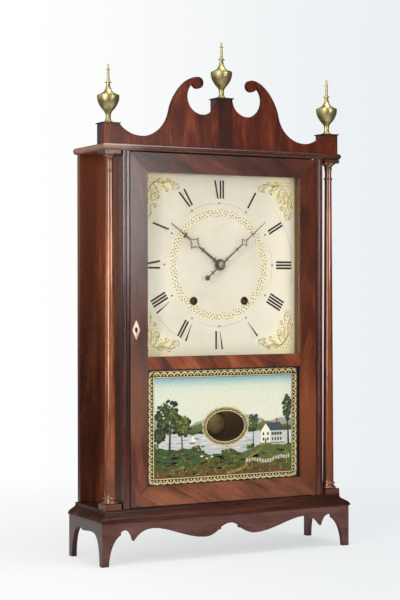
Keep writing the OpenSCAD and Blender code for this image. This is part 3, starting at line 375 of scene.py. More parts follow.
# The cornice's left end takes a painted sheen, where it reflects the light.
dress("cornice", mahogany("cornice_mahogany", "X", "1e0a06", "4c2118", "7a4c3a", 0.3, 5.9, 0.22, 0.9, 0.18,
                          stain_and_painted_light=painted_end_sheen))
dress("jamb_beads", mahogany("bead_mahogany", "Z", "1c0a05", "4c2115", "7c4c36", 0.2, 6.4, 0.2, 0.75, 0.12,
                             sheen=0.35))
# The left side takes painted light toward its top.
dress("case_side_left", mahogany("side_left_mahogany", "Z", "220c05", "562714", "84502f", 0.3, 7.1,
                                 raw=left_inside, stain_and_painted_light=painted_top_light))
dress("case_side_right", mahogany("side_right_mahogany", "Z", figure=0.25, shift=8.3, raw=right_inside))
# The back board's wings take painted light toward their tops.
dress("backboard", mahogany("wing_mahogany", "Z", "1c0b06", "462114", "6e422c", 0.25, 9.2, 0.24, 0.7, 0.2,
                            raw=back_inside, stain_and_painted_light=painted_top_light))
dress("scroll_board", mahogany("scroll_mahogany", "Z", "1d0a05", "54200d", "874420", 0.45, 10.6,
                               0.26, 0.22, 0.2, 3, sheen=0.1, stain_and_painted_light=middle_block))
dress("finial_blocks", mahogany("block_mahogany", "Z", "180704", "3f190f", "6e3c28", 0.3, 11.5))
dress("column_blocks", mahogany("plinth_mahogany", "X", "240f08", "5c2c1b", "8c5640", 0.3, 12.4,
                                0.24, 0.5, 0.16))
dress("column_left", mahogany("column_left_mahogany", "Z", "5c2a16", "a25c38", "d0956a", 0.3, 13.1,
                              0.16, 0.95, 0.06, sheen=1.0, stain_and_painted_light=column_ends, tint="ffd4ac"))
dress("column_right", mahogany("column_right_mahogany", "Z", "3c1709", "7a3c1e", "b0703f", 0.3, 14.9,
                               0.16, 1.0, 0.06, sheen=1.0, stain_and_painted_light=column_ends, tint="ffc8a0"))

# %% [markdown]
# The door frame is veneered with figured mahogany. Its stiles show long, quiet figure, and the
# veneer of its rails is laid aslant, so that its flames cross them.

# %% Dress the door frame


def faded_right(f):
    """The right stile has faded beside the tablet."""
    z = f.axis("Z")
    return (1 - z.step(0.23, 0.3)) * (z.step(0.1, 0.2) * 0.17 + 0.15), "a05c34"


def faded_left(f):
    """A faded patch beside the tablet."""
    z = f.axis("Z")
    return z.step(0.16, 0.21) * (1 - z.step(0.26, 0.36)) * 0.24, "9c6a4a"


def shaded_right(f):
    """The bottom rail is darker toward the right."""
    return f.axis("X").step(-0.06, 0.12) * 0.4, "3e1c10"


dress("door_stile_left", mahogany("stile_left_veneer", "Z", figure=0.55, shift=15.2, gloss=0.3, coat=0.85,
                                  lean=5, stain_and_painted_light=faded_left))
dress("door_stile_right", mahogany("stile_right_veneer", "Z", "280d06", "4c1d0c", "78401f", 0.6, 16.8,
                                   0.28, 0.35, 0.18, -7, sheen=0.15, stain_and_painted_light=faded_right))
dress("door_rail_top", mahogany("rail_top_veneer", "Z", figure=0.6, shift=17.4, gloss=0.3, coat=0.6, lean=58))
dress("door_rail_middle", mahogany("rail_middle_veneer", "Z", "36160b", "76371b", "9c5c3a", 0.6, 18.3,
                                   0.28, 0.4, 0.2, 42))
dress("door_rail_bottom", mahogany("rail_bottom_veneer", "Z", "42200f", "7e4428", "9c6344", 0.5, 19.7,
                                   0.28, 0.4, 0.2, 62, stain_and_painted_light=shaded_right))

# %% [markdown]
# ## Brass and iron
# The finials are old turned brass: bright on the swellings that get handled, brown in the
# hollows. The weights are rough cast iron, and the hands are blued and near black. One recipe for
# all the brass and one for all the iron, each with two colours and a mask, keep them of a kind.

# %% Make metals


def aged_brass(name, bright, brown, share, rough):
    """Brass with brown patches over a share of it, which are duller too."""
    f = Finish(name)
    patch = f.noise(70, (1, 1, 1), 5, 0.6).step(0.42, 0.68)
    fine = f.noise(400, (1, 1, 3), 3, 0.6)
    colour = f.mix(patch * share, hexed(bright), hexed(brown))
    f.set(Base_Color=colour, Metallic=1.0, Roughness=fine * 0.14 + patch * 0.16 + rough,
          Normal=f.bump(fine, 0.00004, 0.4))
    return f.material


def dark_iron(name, colour, rough, grit=600, depth=0.00003, metal=0.85):
    """Iron or steel with fine pits and a little rust; cast iron has wide, deep pits."""
    f = Finish(name)
    pits = f.noise(grit, (1, 1, 1), 4, 0.65)
    rust = f.noise(40, (1, 1, 1), 4, 0.6).step(0.55, 0.75)
    f.set(Base_Color=f.mix(rust * 0.35, hexed(colour), hexed("3a2216")), Metallic=metal,
          Roughness=pits * 0.25 + rough, Normal=f.bump(pits, depth, 0.8))
    return f.material


dress("finials", aged_brass("finial_brass", "ccbe88", "867a4c", 0.45, 0.31))
dress("door_pivots door_lock lock_bolt", aged_brass("fitting_brass", "b08d4c", "4e3a1c", 0.5, 0.3))
dress("winding_bushes", aged_brass("bush_brass", "5d4a24", "2a2010", 0.6, 0.4))
dress("pendulum_bob", aged_brass("bob_brass", "917955", "5c4a30", 0.5, 0.45))
dress("bell", aged_brass("bell_metal", "b8a06a", "5c4a2a", 0.5, 0.28))
dress("minute_hand hour_hand", dark_iron("hand_iron", "5a5548", 0.34, metal=0.2))
dress("verge pendulum_post pendulum_rod hammer bell_stud", dark_iron("wire_steel", "5c554c", 0.3))
dress("time_weight strike_weight", dark_iron("cast_weight_iron", "1d1a18", 0.55, 260, 0.0004, 0.4))

# %% [markdown]
# ## Plain timber
# Clockmakers cut the wheels from cherry and the plates from oak, and left pine where no one looks.
# Such timber has growth lines and no figure, so one layer of noise stretched along it will do.

# %% Make plain timber


def plain_timber(name, along, pale, deep, rough=0.55, coat=0.0, shift=0.0):
    """Unfigured timber with soft growth lines along the letter X, Y or Z."""
    f = Finish(name)
    lines = f.noise(18, grain(along, 1, 14), 5, 0.6, (shift, shift, shift), 0.4)
    cloud = f.noise(7, (1, 1, 1), 3, 0.5, (shift, 0, 0))
    colour = f.mix(lines * 0.8 + cloud * 0.2, hexed(deep), hexed(pale))
    f.set(Base_Color=colour, Roughness=lines * 0.15 + rough, Coat_Weight=coat,
          Normal=f.bump(lines, 0.0001, 0.6))
    return f.material


dress("inner_rails pulley_brackets", plain_timber("pine_batten", "Z", "b08a5c", "7d5730", 0.65))
dress("front_plate back_plate", plain_timber("oak_plate", "X", "9a6b3c", "6a4122", 0.5, 0.1, 2))
dress("cannon_pinion centre_wheel minute_wheel hour_wheel second_wheel third_wheel escape_wheel "
      "time_great_wheel strike_great_wheel time_pulley strike_pulley",
      plain_timber("cherry_wheel", "X", "a5683c", "6d3a1e", 0.42, 0.2, 5))
dress("time_drum strike_drum", plain_timber("grimy_cherry", "Y", "5e3a20", "2c180c", 0.6, 0, 6))

# %% [markdown]
# ## Caps under the finials, and bone
# The caps are ebonised and rubbed brown in spots. The keyhole plate is bone: creamy, with faint streaks. Its
# keyhole is painted near black by the distance from the plate's middle, as painted shade for the dark
# opening, which needs no hole map.

# %% Make the small finishes
KEYHOLE_HALF = (0.0024, 0.0046)


def ebonised(name):
    f = Finish(name)
    rub = f.noise(120, (1, 1, 1), 4, 0.6).step(0.56, 0.7)
    f.set(Base_Color=f.mix(rub * 0.3, hexed("14100e"), hexed("4a3020")), Roughness=rub * 0.2 + 0.34,
          Coat_Weight=0.2, Normal=f.soft_edges(0.0004))
    return f.material


def old_bone(name):
    f = Finish(name)
    streak = f.noise(60, (9, 9, 1), 4, 0.6)
    middle = [(a + b) / 2 for a, b in zip(*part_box("keyhole_escutcheon"))]
    across, up = (f.axis("X") - middle[0]) / KEYHOLE_HALF[0], (f.axis("Z") - middle[2]) / KEYHOLE_HALF[1]
    # Painted shade: near black inside the keyhole's outline, for the dark of the opening
    keyhole = 1 - ((across * across + up * up) ** 0.5).step(0.75, 1.1)
    bone = f.ramp(streak, (0.35, hexed("b08f74")), (0.62, hexed("dcc8b0")))
    f.set(Base_Color=f.mix(keyhole, bone, hexed("120c08")),
          Roughness=0.35, Normal=f.bump(streak, 0.00005, 0.5))
    return f.material


dress("finial_plates", ebonised("ebonised_cap"))
dress("keyhole_escutcheon", old_bone("bone_inlay"))

# %% [markdown]
# ## Window glass
# Old sheet glass is nearly invisible except where it mirrors something. Mixing a clear shader
# with a glossy one by the viewing angle keeps what is behind it lit.

# %% Make glass


def window_glass(name):
    f = Finish(name)
    wave = f.noise(9, (1, 1, 1), 2, 0.5)
    gloss = node(f.tree, "ShaderNodeBsdfGlossy", None, (1, 1, 1), 0.015, Normal=f.bump(wave, 0.002, 0.1))
    clear = node(f.tree, "ShaderNodeBsdfTransparent", None, (0.985, 0.98, 0.965))
    angle = node(f.tree, "ShaderNodeFresnel", None, 1.5)
    inside = node(f.tree, "ShaderNodeNewGeometry", out="Backfacing")
    f.show(node(f.tree, "ShaderNodeMixShader", None, angle * (1 - inside) * 1.2, clear, gloss))
    return f.material


dress("dial_glass tablet_glass", window_glass("sheet_glass"))

# %% [markdown]
# ## Small pieces made of strokes and dabs
# The painted and gilded work is thin: strokes, dots and dabs of paint, each a few hundredths of a
# millimetre in front of the one below. A `Layer` collects them in one mesh. Every face carries its
# own tint, so one material can paint a whole picture, and all of them look towards -Y.

# %% Make a layer
# Lengths in millimetres times MM are metres
MM = 0.001
rng = random.Random(1830)


class Layer:
    """Thin shapes that face the viewer, drawn in x and z at a depth y."""

    def __init__(self):
        self.bm = bmesh.new()
        self.tint = self.bm.loops.layers.float_color.new("tint")

    def fill(self, points, y, colour=(1, 1, 1)):
        """One face through (x, z) points. A colour list gives each corner its own."""
        face = self.bm.faces.new([self.bm.verts.new((p[0], y, p[1])) for p in points])
        for k, loop in enumerate(face.loops):
            loop[self.tint] = (*(colour[k] if isinstance(colour, list) else colour), 1)

    def stroke(self, points, width, y, rise=0.0, colour=(1, 1, 1)):
        """A ribbon along the points. Its width is a number or changes from 0 to 1; rise lifts its crest."""
        rows, last = [], len(points) - 1
        for i, p in enumerate(points):
            ahead = Vector(points[min(i + 1, last)]) - Vector(points[max(i - 1, 0)])
            wide = width(i / last) if callable(width) else width
            side = Vector((-ahead.y, ahead.x)).normalized() * wide / 2
            edge, crest = (p[0] + side.x, y, p[1] + side.y), (p[0], y - rise, p[1])
            other_edge = (p[0] - side.x, y, p[1] - side.y)
            rows.append([self.bm.verts.new(place) for place in (edge, crest, other_edge)])
        for low, high in zip(rows, rows[1:]):
            for k in (0, 1):
                face = self.bm.faces.new((low[k], low[k + 1], high[k + 1], high[k]))
                for loop in face.loops:
                    loop[self.tint] = (*colour, 1)

    def dab(self, x, z, size, y, colour=(1, 1, 1), sides=7, wobble=0.25):
        """One touch of the brush: a small uneven round."""
        start = rng.uniform(0, math.tau)
        ring = []
        for k in range(sides):
            turn = start + math.tau * k / sides
            reach = 1 + rng.uniform(-wobble, wobble)
            ring.append((x + size[0] * reach * math.cos(turn), z + size[1] * reach * math.sin(turn)))
        self.fill(ring, y, colour)

    def finish(self, name, material, body, slot):
        """Turns every face towards the viewer and makes the piece."""
        for face in self.bm.faces:
            face.normal_update()
            if face.normal.y > 0:
                face.normal_flip()
        add_piece(name, self.bm, material, body)


print("a layer has", *[name for name in vars(Layer) if not name.startswith("_")])

# %% [markdown]
# A finished bmesh becomes an object at the origin, with its place in its mesh, and is told which
# body it rides on. Two small helpers give the lines that strokes follow.

# %% Helpers for pieces and lines


def add_piece(name, bm, material, body, replaced=None):
    """Turns a bmesh into a piece that rides on a body and may stand for a CAD node."""
    mesh = bpy.data.meshes.new(name)
    bm.to_mesh(mesh)
    bm.free()
    made = bpy.data.objects.new(name, mesh)
    bpy.context.scene.collection.objects.link(made)
    mesh.materials.append(material)
    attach(made, body)
    if replaced:
        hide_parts(replaced)
    print(name, "has", len(mesh.polygons), "faces")
    return made


def smooth_path(points, steps=6):
    """A rounded line that passes through all the points."""
    points = [Vector(p) for p in points]
    ends = [points[0] * 2 - points[1]] + points + [points[-1] * 2 - points[-2]]
    line = []
    for a, b, c, d in zip(ends, ends[1:], ends[2:], ends[3:]):
        for k in range(steps):
            t = k / steps
            line.append(0.5 * (2 * b + (c - a) * t + (2 * a - 5 * b + 4 * c - d) * t * t
                               + (3 * b - a - 3 * c + d) * t ** 3))
    return line + [points[-1]]


def corners(left, right, low, high):
    """The corners of a rectangle, anticlockwise from the lower left one."""
    return [(left, low), (right, low), (right, high), (left, high)]


print("a smooth path through 3 points has", len(smooth_path([(0, 0), (1, 1), (2, 0)])), "points")

# %% [markdown]
# ## Dial paint
# The dial is a pine board with several coats of ivory paint, yellowed towards its edges and cracked
# as finely as an eggshell. A pale yellow wash lies under the gold dots and scrolls, and a brown
# ring under each winding hole, where keys and oily fingers went. Its back is bare. Masks made of
# distances and noise stay sharp close up, where a picture of old paint would blur.

# %% Paint the dial
joints_at = {j["name"]: Vector(j["pos_m"]) for j in frame["record"]["behaviour"]["joints"] if "pos_m" in j}
DIAL = joints_at["minute_turn"]
WINDING = joints_at["time_drum_turn"]
DIAL_Y, DIAL_BACK = (corner[1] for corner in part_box("dial_board"))


def ring_share(radius, inner_low, inner_high, outer_low, outer_high):
    """1 inside a ring, with soft edges at both radii."""
    return radius.step(inner_low, inner_high) * (1 - radius.step(outer_low, outer_high))


def dial_paint(name):
    f = Finish(name)
    x, z = abs(f.axis("X")), f.axis("Z") - DIAL.z
    high = abs(z)
    radius = (x * x + z * z) ** 0.5
    cloud = f.noise(12, detail=4, rough=0.6)
    mottle = f.noise(160, detail=3, rough=0.6)
    ground = f.mix(cloud.step(0.35, 0.75), hexed("dbd7c8"), hexed("d2ccba"))
    # Painted light: paler towards the edges, most at the corners and the right edge, where the door frame
    # shades the dial, so that it looks as evenly lit as its middle; yellowed along the rim
    pale = x.step(0.06, 0.125) * 0.3 + high.step(0.09, 0.14) * 0.3 + f.axis("X").step(0.06, 0.135) * 0.4
    ground = f.mix(pale, ground, hexed("f7f1dd"))
    rim = x.step(0.118, 0.139) + high.step(0.125, 0.148)
    ground = f.mix(rim * (0.03 + cloud * 0.08), ground, hexed("d8cda8"))
    # The wash under the wreath of dots and the one under the scrolls
    ragged = radius + (mottle - 0.5) * 0.004
    wash = ring_share(ragged, 0.0735, 0.078, 0.086, 0.0905) * (cloud * 0.3 + 0.08)
    ground = f.mix(wash, ground, hexed("f0e0a0"))
    spray = x.step(0.07, 0.095) * high.step(0.07, 0.095) * (x + high).step(0.192, 0.222)
    spray = spray * (f.noise(45).step(0.32, 0.6) * 0.4 + 0.25)
    ground = f.mix(spray, ground, hexed("fcefba"))
    # Brown round the winding holes
    hole_x, hole_z = x - WINDING.x, f.axis("Z") - WINDING.z
    hole = (hole_x * hole_x + hole_z * hole_z) ** 0.5
    ground = f.mix((1 - hole.step(0.0052, 0.0078)) * 0.93, ground, hexed("655530"))
    # Fine cracks, and bare pine on the back
    crack = f.cracks(150, 0.05) * cloud.step(0.4, 0.7)
    ground = f.mix(crack * 0.13, ground, hexed("7d6d4c"))
    bare_pine = f.mix(f.noise(18, grain("X", 1, 14), 5, 0.6), hexed("7d5730"), hexed("b08a5c"))
    ground = f.mix(f.axis("Y") > DIAL_BACK - 0.0005, ground, bare_pine)
    f.set(Base_Color=ground, Roughness=mottle * 0.2 + 0.42, Specular_IOR_Level=0.35,
          Normal=f.bump(mottle * 0.4 - crack, 0.00005, 0.5))
    return f.material


def ink(name, colour, worn, share):
    """Thin flat paint, rubbed to another colour in places."""
    f = Finish(name)
    rub = f.noise(260, detail=4, rough=0.65).step(0.55, 0.75)
    f.set(Base_Color=f.mix(rub * share, hexed(colour), hexed(worn)), Roughness=rub * 0.2 + 0.4)
    return f.material


def gilding(name, bright, brown, share):
    """Bronze powder and leaf over size, rubbed to its brown ground in places."""
    f = Finish(name)
    rub = f.noise(190, detail=4, rough=0.65).step(0.46, 0.7)
    powder = f.noise(900, detail=2)
    f.set(Base_Color=f.mix(rub * share, hexed(bright), hexed(brown)), Metallic=0.55,
          Roughness=powder * 0.2 + rub * 0.15 + 0.28, Normal=f.bump(powder, 0.00003, 0.4))
    return f.material


dress("dial_board", dial_paint("ivory_dial_paint"))

# %% [markdown]
# The numerals stand on the rim with their tops outwards and are read clockwise, four o'clock as
# IIII. A broad brush made each thick stroke; the thin strokes of V and X have worn to hairlines. A
# stroke has straight edges, so one four-cornered face is enough for each, and no font is needed.

# %% Paint the numerals
NUMERALS = "I II III IIII V VI VII VIII IX X XI XII".split()
RIM_IN, RIM_OUT, HOUR_DOTS = 103.6, 132.2, 96.3
STROKE, HAIR, PITCH = 3.1, 0.3, 4.8
V_APEX, V_NEXT, V_FOOT, X_LEAN, X_NEXT, I_TO_X = 3.8, 11.0, 0.35, 5.4, 9.95, 5.0
# The depth of the topmost paint, of the thin rings and of the olive lines under the gold
TOP_COAT, RING_COAT, UNDER_COAT = DIAL_Y - 0.00006, DIAL_Y - 0.00005, DIAL_Y - 0.00004


def on_dial(radius, degrees, along=0.0):
    """A point of the dial from its radius and clock angle, moved clockwise along the rim, in mm."""
    turn = math.radians(degrees)
    across, up = math.sin(turn), math.cos(turn)
    return (DIAL.x + (radius * across + along * up) * MM, DIAL.z + (radius * up - along * across) * MM)


def numeral(text):
    """Strokes as outer place, inner place, outer width and inner width along the rim."""
    place, strokes = 0.0, []
    for letter, following in zip(text, text[1:] + " "):
        if letter == "I":
            strokes.append((place, place, STROKE, STROKE))
            place += I_TO_X if following == "X" else PITCH
        elif letter == "V":
            strokes.append((place, place + V_APEX, STROKE, V_FOOT))
            strokes.append((place + 2 * V_APEX, place + V_APEX, HAIR, HAIR))
            place += V_NEXT
        else:
            strokes.append((place, place + X_LEAN, STROKE, STROKE))
            strokes.append((place + X_LEAN, place, HAIR, HAIR))
            place += X_NEXT
    ends = [s[0] for s in strokes] + [s[1] for s in strokes]
    middle = (min(ends) + max(ends)) / 2
    return [(a - middle, b - middle, wide, narrow) for a, b, wide, narrow in strokes]


figures = Layer()
for hour, text in enumerate(NUMERALS, 1):
    for outer, inner, wide, narrow in numeral(text):
        outline = ((RIM_OUT, outer - wide / 2), (RIM_OUT, outer + wide / 2),
                   (RIM_IN, inner + narrow / 2), (RIM_IN, inner - narrow / 2))
        figures.fill([on_dial(radius, hour * 30, along) for radius, along in outline], TOP_COAT)
    figures.dab(*on_dial(HOUR_DOTS, hour * 30), (1.5 * MM, 1.5 * MM), TOP_COAT, sides=10, wobble=0.06)
figures.finish("hour_figures", ink("figure_black", "1d1910", "5c5440", 0.25), "case", "dial_paint")

# %% [markdown]
# Two thin rings guided the painter: one through the hour dots, one along the numerals' tops. Only
# parts of them are left. Between the dots and the centre runs a wreath of small gold dots. As thin
# meshes, rather than masks in the dial's finish, their edges stay crisp when the finish is baked.

# %% Draw the rings and the wreath
TOPS = 133.4
DOTS_IN_A_ROW = 92


def worn_line(share):
    """The width of a ring's remainder, which thins out at both ends."""
    return 0.34 * MM * min(1, 6 * share, 6 * (1 - share)) + 0.00002


rings = Layer()
for radius, start, end in ((HOUR_DOTS, -42, 36), (HOUR_DOTS, 74, 108), (HOUR_DOTS, 150, 205),
                           (TOPS, 46, 112), (TOPS, 214, 236)):
    rings.stroke([on_dial(radius, start + (end - start) * k / 40) for k in range(41)], worn_line, RING_COAT)
rings.finish("guide_rings", ink("ring_grey", "6f6957", "b8b199", 0.6), "case", "dial_paint")

wreath = Layer()
for row, (radius, size) in enumerate(((77.0, 1.0), (81.0, 1.15), (85.0, 1.05))):
    for k in range(DOTS_IN_A_ROW):
        degrees = (k + row * 0.5 + rng.uniform(-0.18, 0.18)) * 360 / DOTS_IN_A_ROW
        spot = on_dial(radius + rng.uniform(-0.9, 0.9) + 0.9 * math.sin(math.radians(degrees * 22)), degrees)
        wreath.dab(*spot, (size * MM, size * MM), TOP_COAT, sides=6, wobble=0.3)
wreath.finish("gold_wreath_dots", ink("wreath_gold", "604a10", "8c7024", 0.3), "case", "dial_paint")

# %% [markdown]
# Each corner has the same spray of scrolls, mirrored. It is drawn once, in millimetres from the
# corner towards the middle. The gold stands proud on a ridge of size, with an olive line drawn
# along its shaded side.

# %% Gild the corners
DIAL_HALF, GOLD_RISE = 0.1355, 0.0004


def curl(centre, radius, start, turns):
    """Points of a spiral that winds inwards to 0.18 of its radius, from a start angle in degrees."""
    count = int(abs(turns) * 14)
    line = []
    for k in range(count + 1):
        share = k / count
        turn = math.radians(start) + math.tau * turns * share
        reach = radius * (1 - 0.82 * share)
        line.append(Vector((centre[0] + reach * math.cos(turn), centre[1] + reach * math.sin(turn))))
    return line


def in_corner(side, level, p, drop=0.0):
    """A point of the spray in one corner of the dial, moved down to the right by drop, in mm."""
    return Vector((side * (DIAL_HALF - p[0] * MM) + drop * MM,
                   DIAL.z + level * (DIAL_HALF - p[1] * MM) - drop * MM))


corner_stems = [
    (curl((60.5, 13.5), 6.2, 235, -1.35)[::-1] + [(50, 6.5), (38, 9.5), (27, 7.5), (17, 13), (10, 25),
     (10.5, 40), (6, 50)] + curl((11.5, 56.5), 5.6, 200, -1.3), 2.3),
    ([(36, 9), (43, 4.5)] + curl((46.5, 5.2), 3.4, 190, 1.2), 1.4),
    ([(13, 19), (20, 25)] + curl((25.5, 30), 5.8, 215, 1.35), 1.9),
    ([(27, 8), (32, 14), (38, 16)] + curl((42, 20), 4.2, 250, 1.2), 1.5),
    ([(10, 40), (15, 44), (19, 42)] + curl((22, 45), 3.8, 230, 1.25), 1.4),
    ([(12, 22), (6, 28), (3.5, 36)] + curl((4.5, 41), 3.0, 260, -1.1), 1.3)]
corner_leaves = [((24, 8), (31, 9), (38, 7)), ((8, 24), (9, 31), (7, 38)), ((20, 12), (27, 19), (29, 25)),
                 ((16, 17), (18, 28), (16, 35)), ((48, 8), (54, 15), (52, 21)),
                 ((11, 32), (17, 38), (20, 36)), ((33, 11), (38, 12), (40, 16)), ((24, 9), (31, 4), (36, 5)),
                 ((12, 46), (17, 52), (16, 58)), ((9, 30), (5, 24), (5, 18))]
corner_dots = [(12, 19.5), (8, 13.5), (6, 9), (23, 4), (18, 3.4), (12, 4.3), (7, 4.5), (15, 9), (10, 9),
               (20, 8), (30, 24), (34, 20), (22, 36), (27, 37), (16, 47), (52, 12), (56, 20), (64, 17),
               (7, 62), (14, 63)]
corner_dots += [(14 + 3.2 * i + 1.1 * j, 24.5 - 2.9 * i + 3.4 * j) for i in range(4) for j in range(3)]
gold = Layer()
shade = Layer()
for side in (-1, 1):
    for level in (-1, 1):
        for points, wide in corner_stems:
            line = smooth_path([in_corner(side, level, p) for p in points], 3)
            below = smooth_path([in_corner(side, level, p, 0.75) for p in points], 3)
            gold.stroke(line, lambda t: wide * MM * (0.25 + 0.42 * math.sin(math.pi * t)),
                        TOP_COAT, GOLD_RISE)
            shade.stroke(below, lambda t: 1.0 * MM * (0.4 + 0.6 * math.sin(math.pi * t)), UNDER_COAT)
        for points in corner_leaves:
            line = smooth_path([in_corner(side, level, p) for p in points], 5)
            gold.stroke(line, lambda t: 2.3 * MM * math.sin(math.pi * (0.12 + 0.88 * t)) + 0.0001,
                        TOP_COAT, GOLD_RISE)
            shade.stroke([p + Vector((0.6 * MM, -0.6 * MM)) for p in line], 0.8 * MM, UNDER_COAT)
        for p in corner_dots:
            shade.dab(*in_corner(side, level, p), (0.85 * MM, 0.85 * MM), RING_COAT, sides=6)
gold.finish("corner_scroll_gold", gilding("scroll_gold", "efdf98", "c2a654", 0.5), "case", "dial_paint")
shade.finish("corner_scroll_shade", ink("scroll_olive", "6c5716", "a08a40", 0.4), "case", "dial_paint")

# %% [markdown]
# ## The tablet
# The lower glass is painted on its back, as a mirror image of a picture on paper: what is nearest
# was painted first and lies against the glass, and the sky went on last. The picture is a quiet
# valley with a farmhouse, in the greens, creams and blues of such tablets. A clear oval shows the
# bob. Everything lies within a millimetre behind the glass.

# %% Set out the tablet
# Areas are given as left, right, low, high
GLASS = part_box("tablet_glass")
SHEET = (GLASS[0][0], GLASS[1][0], GLASS[0][2], GLASS[1][2])
PICTURE = (-122 * MM, 122 * MM, 124 * MM, 277 * MM)
BORDER = (-131 * MM, 131 * MM, 115.8 * MM, 287.6 * MM)
OVAL = Vector((0.002, 0.1995))
OVAL_HALF = (0.0339, 0.0240)
OVAL_STEPS = 24


def depth(layer):
    """The y of a coat of paint: 0 lies on the glass and each next one 0.02 mm behind."""
    return GLASS[1][1] + (0.05 + 0.02 * layer) * MM


def spans(x, low, high, cut):
    """The painted spans at x between two outlines: one, or two where the oval cuts through."""
    bottom, top = low(x), max(low(x), high(x))
    if not cut:
        return [(bottom, top)]
    reach = OVAL_HALF[1] * math.sqrt(max(0.0, 1 - ((x - OVAL.x) / OVAL_HALF[0]) ** 2))
    return [(min(bottom, OVAL.y - reach), min(top, OVAL.y - reach)),
            (max(bottom, OVAL.y + reach), max(top, OVAL.y + reach))]


def band(layer, low, high, y, colour, left=PICTURE[0], right=PICTURE[1], step=0.002):
    """Paints between two outlines, given as heights over x, and leaves the oval open."""
    count = round((right - left) / step)
    places = [left + (right - left) * k / count for k in range(count + 1)]
    edges = [OVAL.x - OVAL_HALF[0] * math.cos(math.pi * k / OVAL_STEPS) for k in range(OVAL_STEPS + 1)]
    places = sorted(set(p for p in places if abs(p - OVAL.x) > OVAL_HALF[0] + 0.0002)
                    | set(e for e in edges if left < e < right))
    for a, b in zip(places, places[1:]):
        cut = abs((a + b) / 2 - OVAL.x) < OVAL_HALF[0]
        for (a0, a1), (b0, b1) in zip(spans(a, low, high, cut), spans(b, low, high, cut)):
            ring = [(a, a0), (b, b0)]
            ring += [(b, b1)] if b1 - b0 > 1e-6 else []
            ring += [(a, a1)] if a1 - a0 > 1e-6 else []
            if len(ring) > 2:
                layer.fill(ring, y, [colour(*p) for p in ring])


print("the picture is", *[round((PICTURE[k + 1] - PICTURE[k]) / MM) for k in (0, 2)], "mm wide and high")

# %% [markdown]
# The land is painted in bands, from the sky at the back to the soil in front. Every outline is a
# height with a few waves added, and every colour changes along a list of stops. The bands overlap
# at different depths, as coats of paint do, so their outlines needn't meet.

# %% Paint the land and water


def blend(*stops):
    """A colour that changes along a value through (place, colour) stops."""
    def pick(value):
        for (a, low), (b, high) in zip(stops, stops[1:]):
            if value <= b:
                share = max(0.0, (value - a) / (b - a))
                return tuple(p + (q - p) * share for p, q in zip(hexed(low), hexed(high)))
        return hexed(stops[-1][1])
    return pick


def by_height(paint):
    """Lets a blend follow the height."""
    return lambda x, z: paint(z)


def ridge(base, *waves):
    """A height line: a base with waves given as height, length and shift, in mm."""
    return lambda x: (base + sum(h * math.sin(math.tau * (x / MM + s) / w) for h, w, s in waves)) * MM


def reverse_paint(name):
    """Oil paint in brush strokes. The tint of each face shows through a thin film."""
    f = Finish(name)
    tint = node(f.tree, "ShaderNodeAttribute", {"attribute_name": "tint"}, out="Color")
    strokes = f.noise(220, (1, 1, 2.2), 4, 0.6)
    pools = f.noise(38, detail=3)
    colour = f.mix(strokes.step(0.35, 0.75) * 0.45, tint, hexed("2a2816"), "SOFT_LIGHT")
    colour = f.mix(pools.step(0.45, 0.75) * 0.12, colour, hexed("efe6c8"), "SOFT_LIGHT")
    f.set(Base_Color=colour, Roughness=strokes * 0.2 + 0.45, Normal=f.bump(strokes, 0.00003, 0.3))
    return f.material


picture = Layer()
sky = blend((0.196, "dddccd"), (0.25, "d9dccd"), (0.262, "d1d9cc"), (0.2695, "b0c8c6"), (0.277, "7eaabb"))
hill_line = ridge(213, (7, 150, 20), (2.5, 47, 5), (0.8, 17, 3))
near_line = ridge(199, (4.5, 120, 75), (1.6, 39, 12), (0.5, 11, 0))
shore_line = ridge(190, (1.2, 90, 30), (0.5, 21, 8))
bank_line = ridge(163, (6, 190, -48), (2.2, 63, 10), (0.8, 19, 2))
verge_line = ridge(145, (4, 170, 60), (1.8, 44, 0), (0.7, 13, 4))
for low, high in zip((0.19, 0.25, 0.262, 0.2695), (0.25, 0.262, 0.2695, PICTURE[3])):
    band(picture, lambda x: max(near_line(x), low), lambda x: high, depth(24), by_height(sky))
for low_line, high_line, coat, stops in (
        (shore_line, hill_line, 22, ((0.19, "8b9a86"), (0.222, "a4b2a6"))),
        (shore_line, near_line, 20, ((0.188, "414f22"), (0.206, "6c7a40"))),
        (bank_line, shore_line, 18, ((0.158, "b9bcbd"), (0.172, "d3d3d0"), (0.19, "c3c9cc")))):
    band(picture, low_line, high_line, depth(coat), by_height(blend(*stops)))
meadow = blend((-0.12, "2c5420"), (0.0, "42591a"), (0.05, "5e6422"), (0.12, "4f6a22"))
band(picture, verge_line, bank_line, depth(12), lambda x, z: meadow(x))
soil = blend((0.120, "72360a"), (0.130, "64440a"), (0.138, "48520a"), (0.153, "2f500e"))
for low, high in ((0.124, 0.130), (0.130, 0.137), (0.137, 0.16)):
    band(picture, lambda x: low, lambda x: max(low, min(verge_line(x), high)), depth(6),
         lambda x, z: soil(z + 0.004 * math.sin(x * 60)))

# Ripples on the water, clear of the oval and of the near bank
for k in range(46):
    x, z = rng.uniform(-0.118, 0.118), rng.uniform(0.164, 0.1885)
    far_out = math.hypot((x - OVAL.x) / OVAL_HALF[0], (z - OVAL.y) / OVAL_HALF[1]) > 1.25
    if far_out and z > bank_line(x) + 0.001:
        wide = rng.uniform(0.004, 0.012)
        picture.stroke([(x - wide, z), (x, z + 0.0003), (x + wide, z)],
                       lambda t: 0.0011 * math.sin(math.pi * t) + 0.0002, depth(17), 0,
                       hexed(rng.choice(("9aa0a6", "e9e9e2", "7f868a"))))
print(len(picture.bm.faces), "faces of land and water")

# %% [markdown]
# Leaves are dabs over dabs: many dark ones, fewer of the middle tone and a few light ones on top.
# The seeded random numbers put them in the same places on every run.

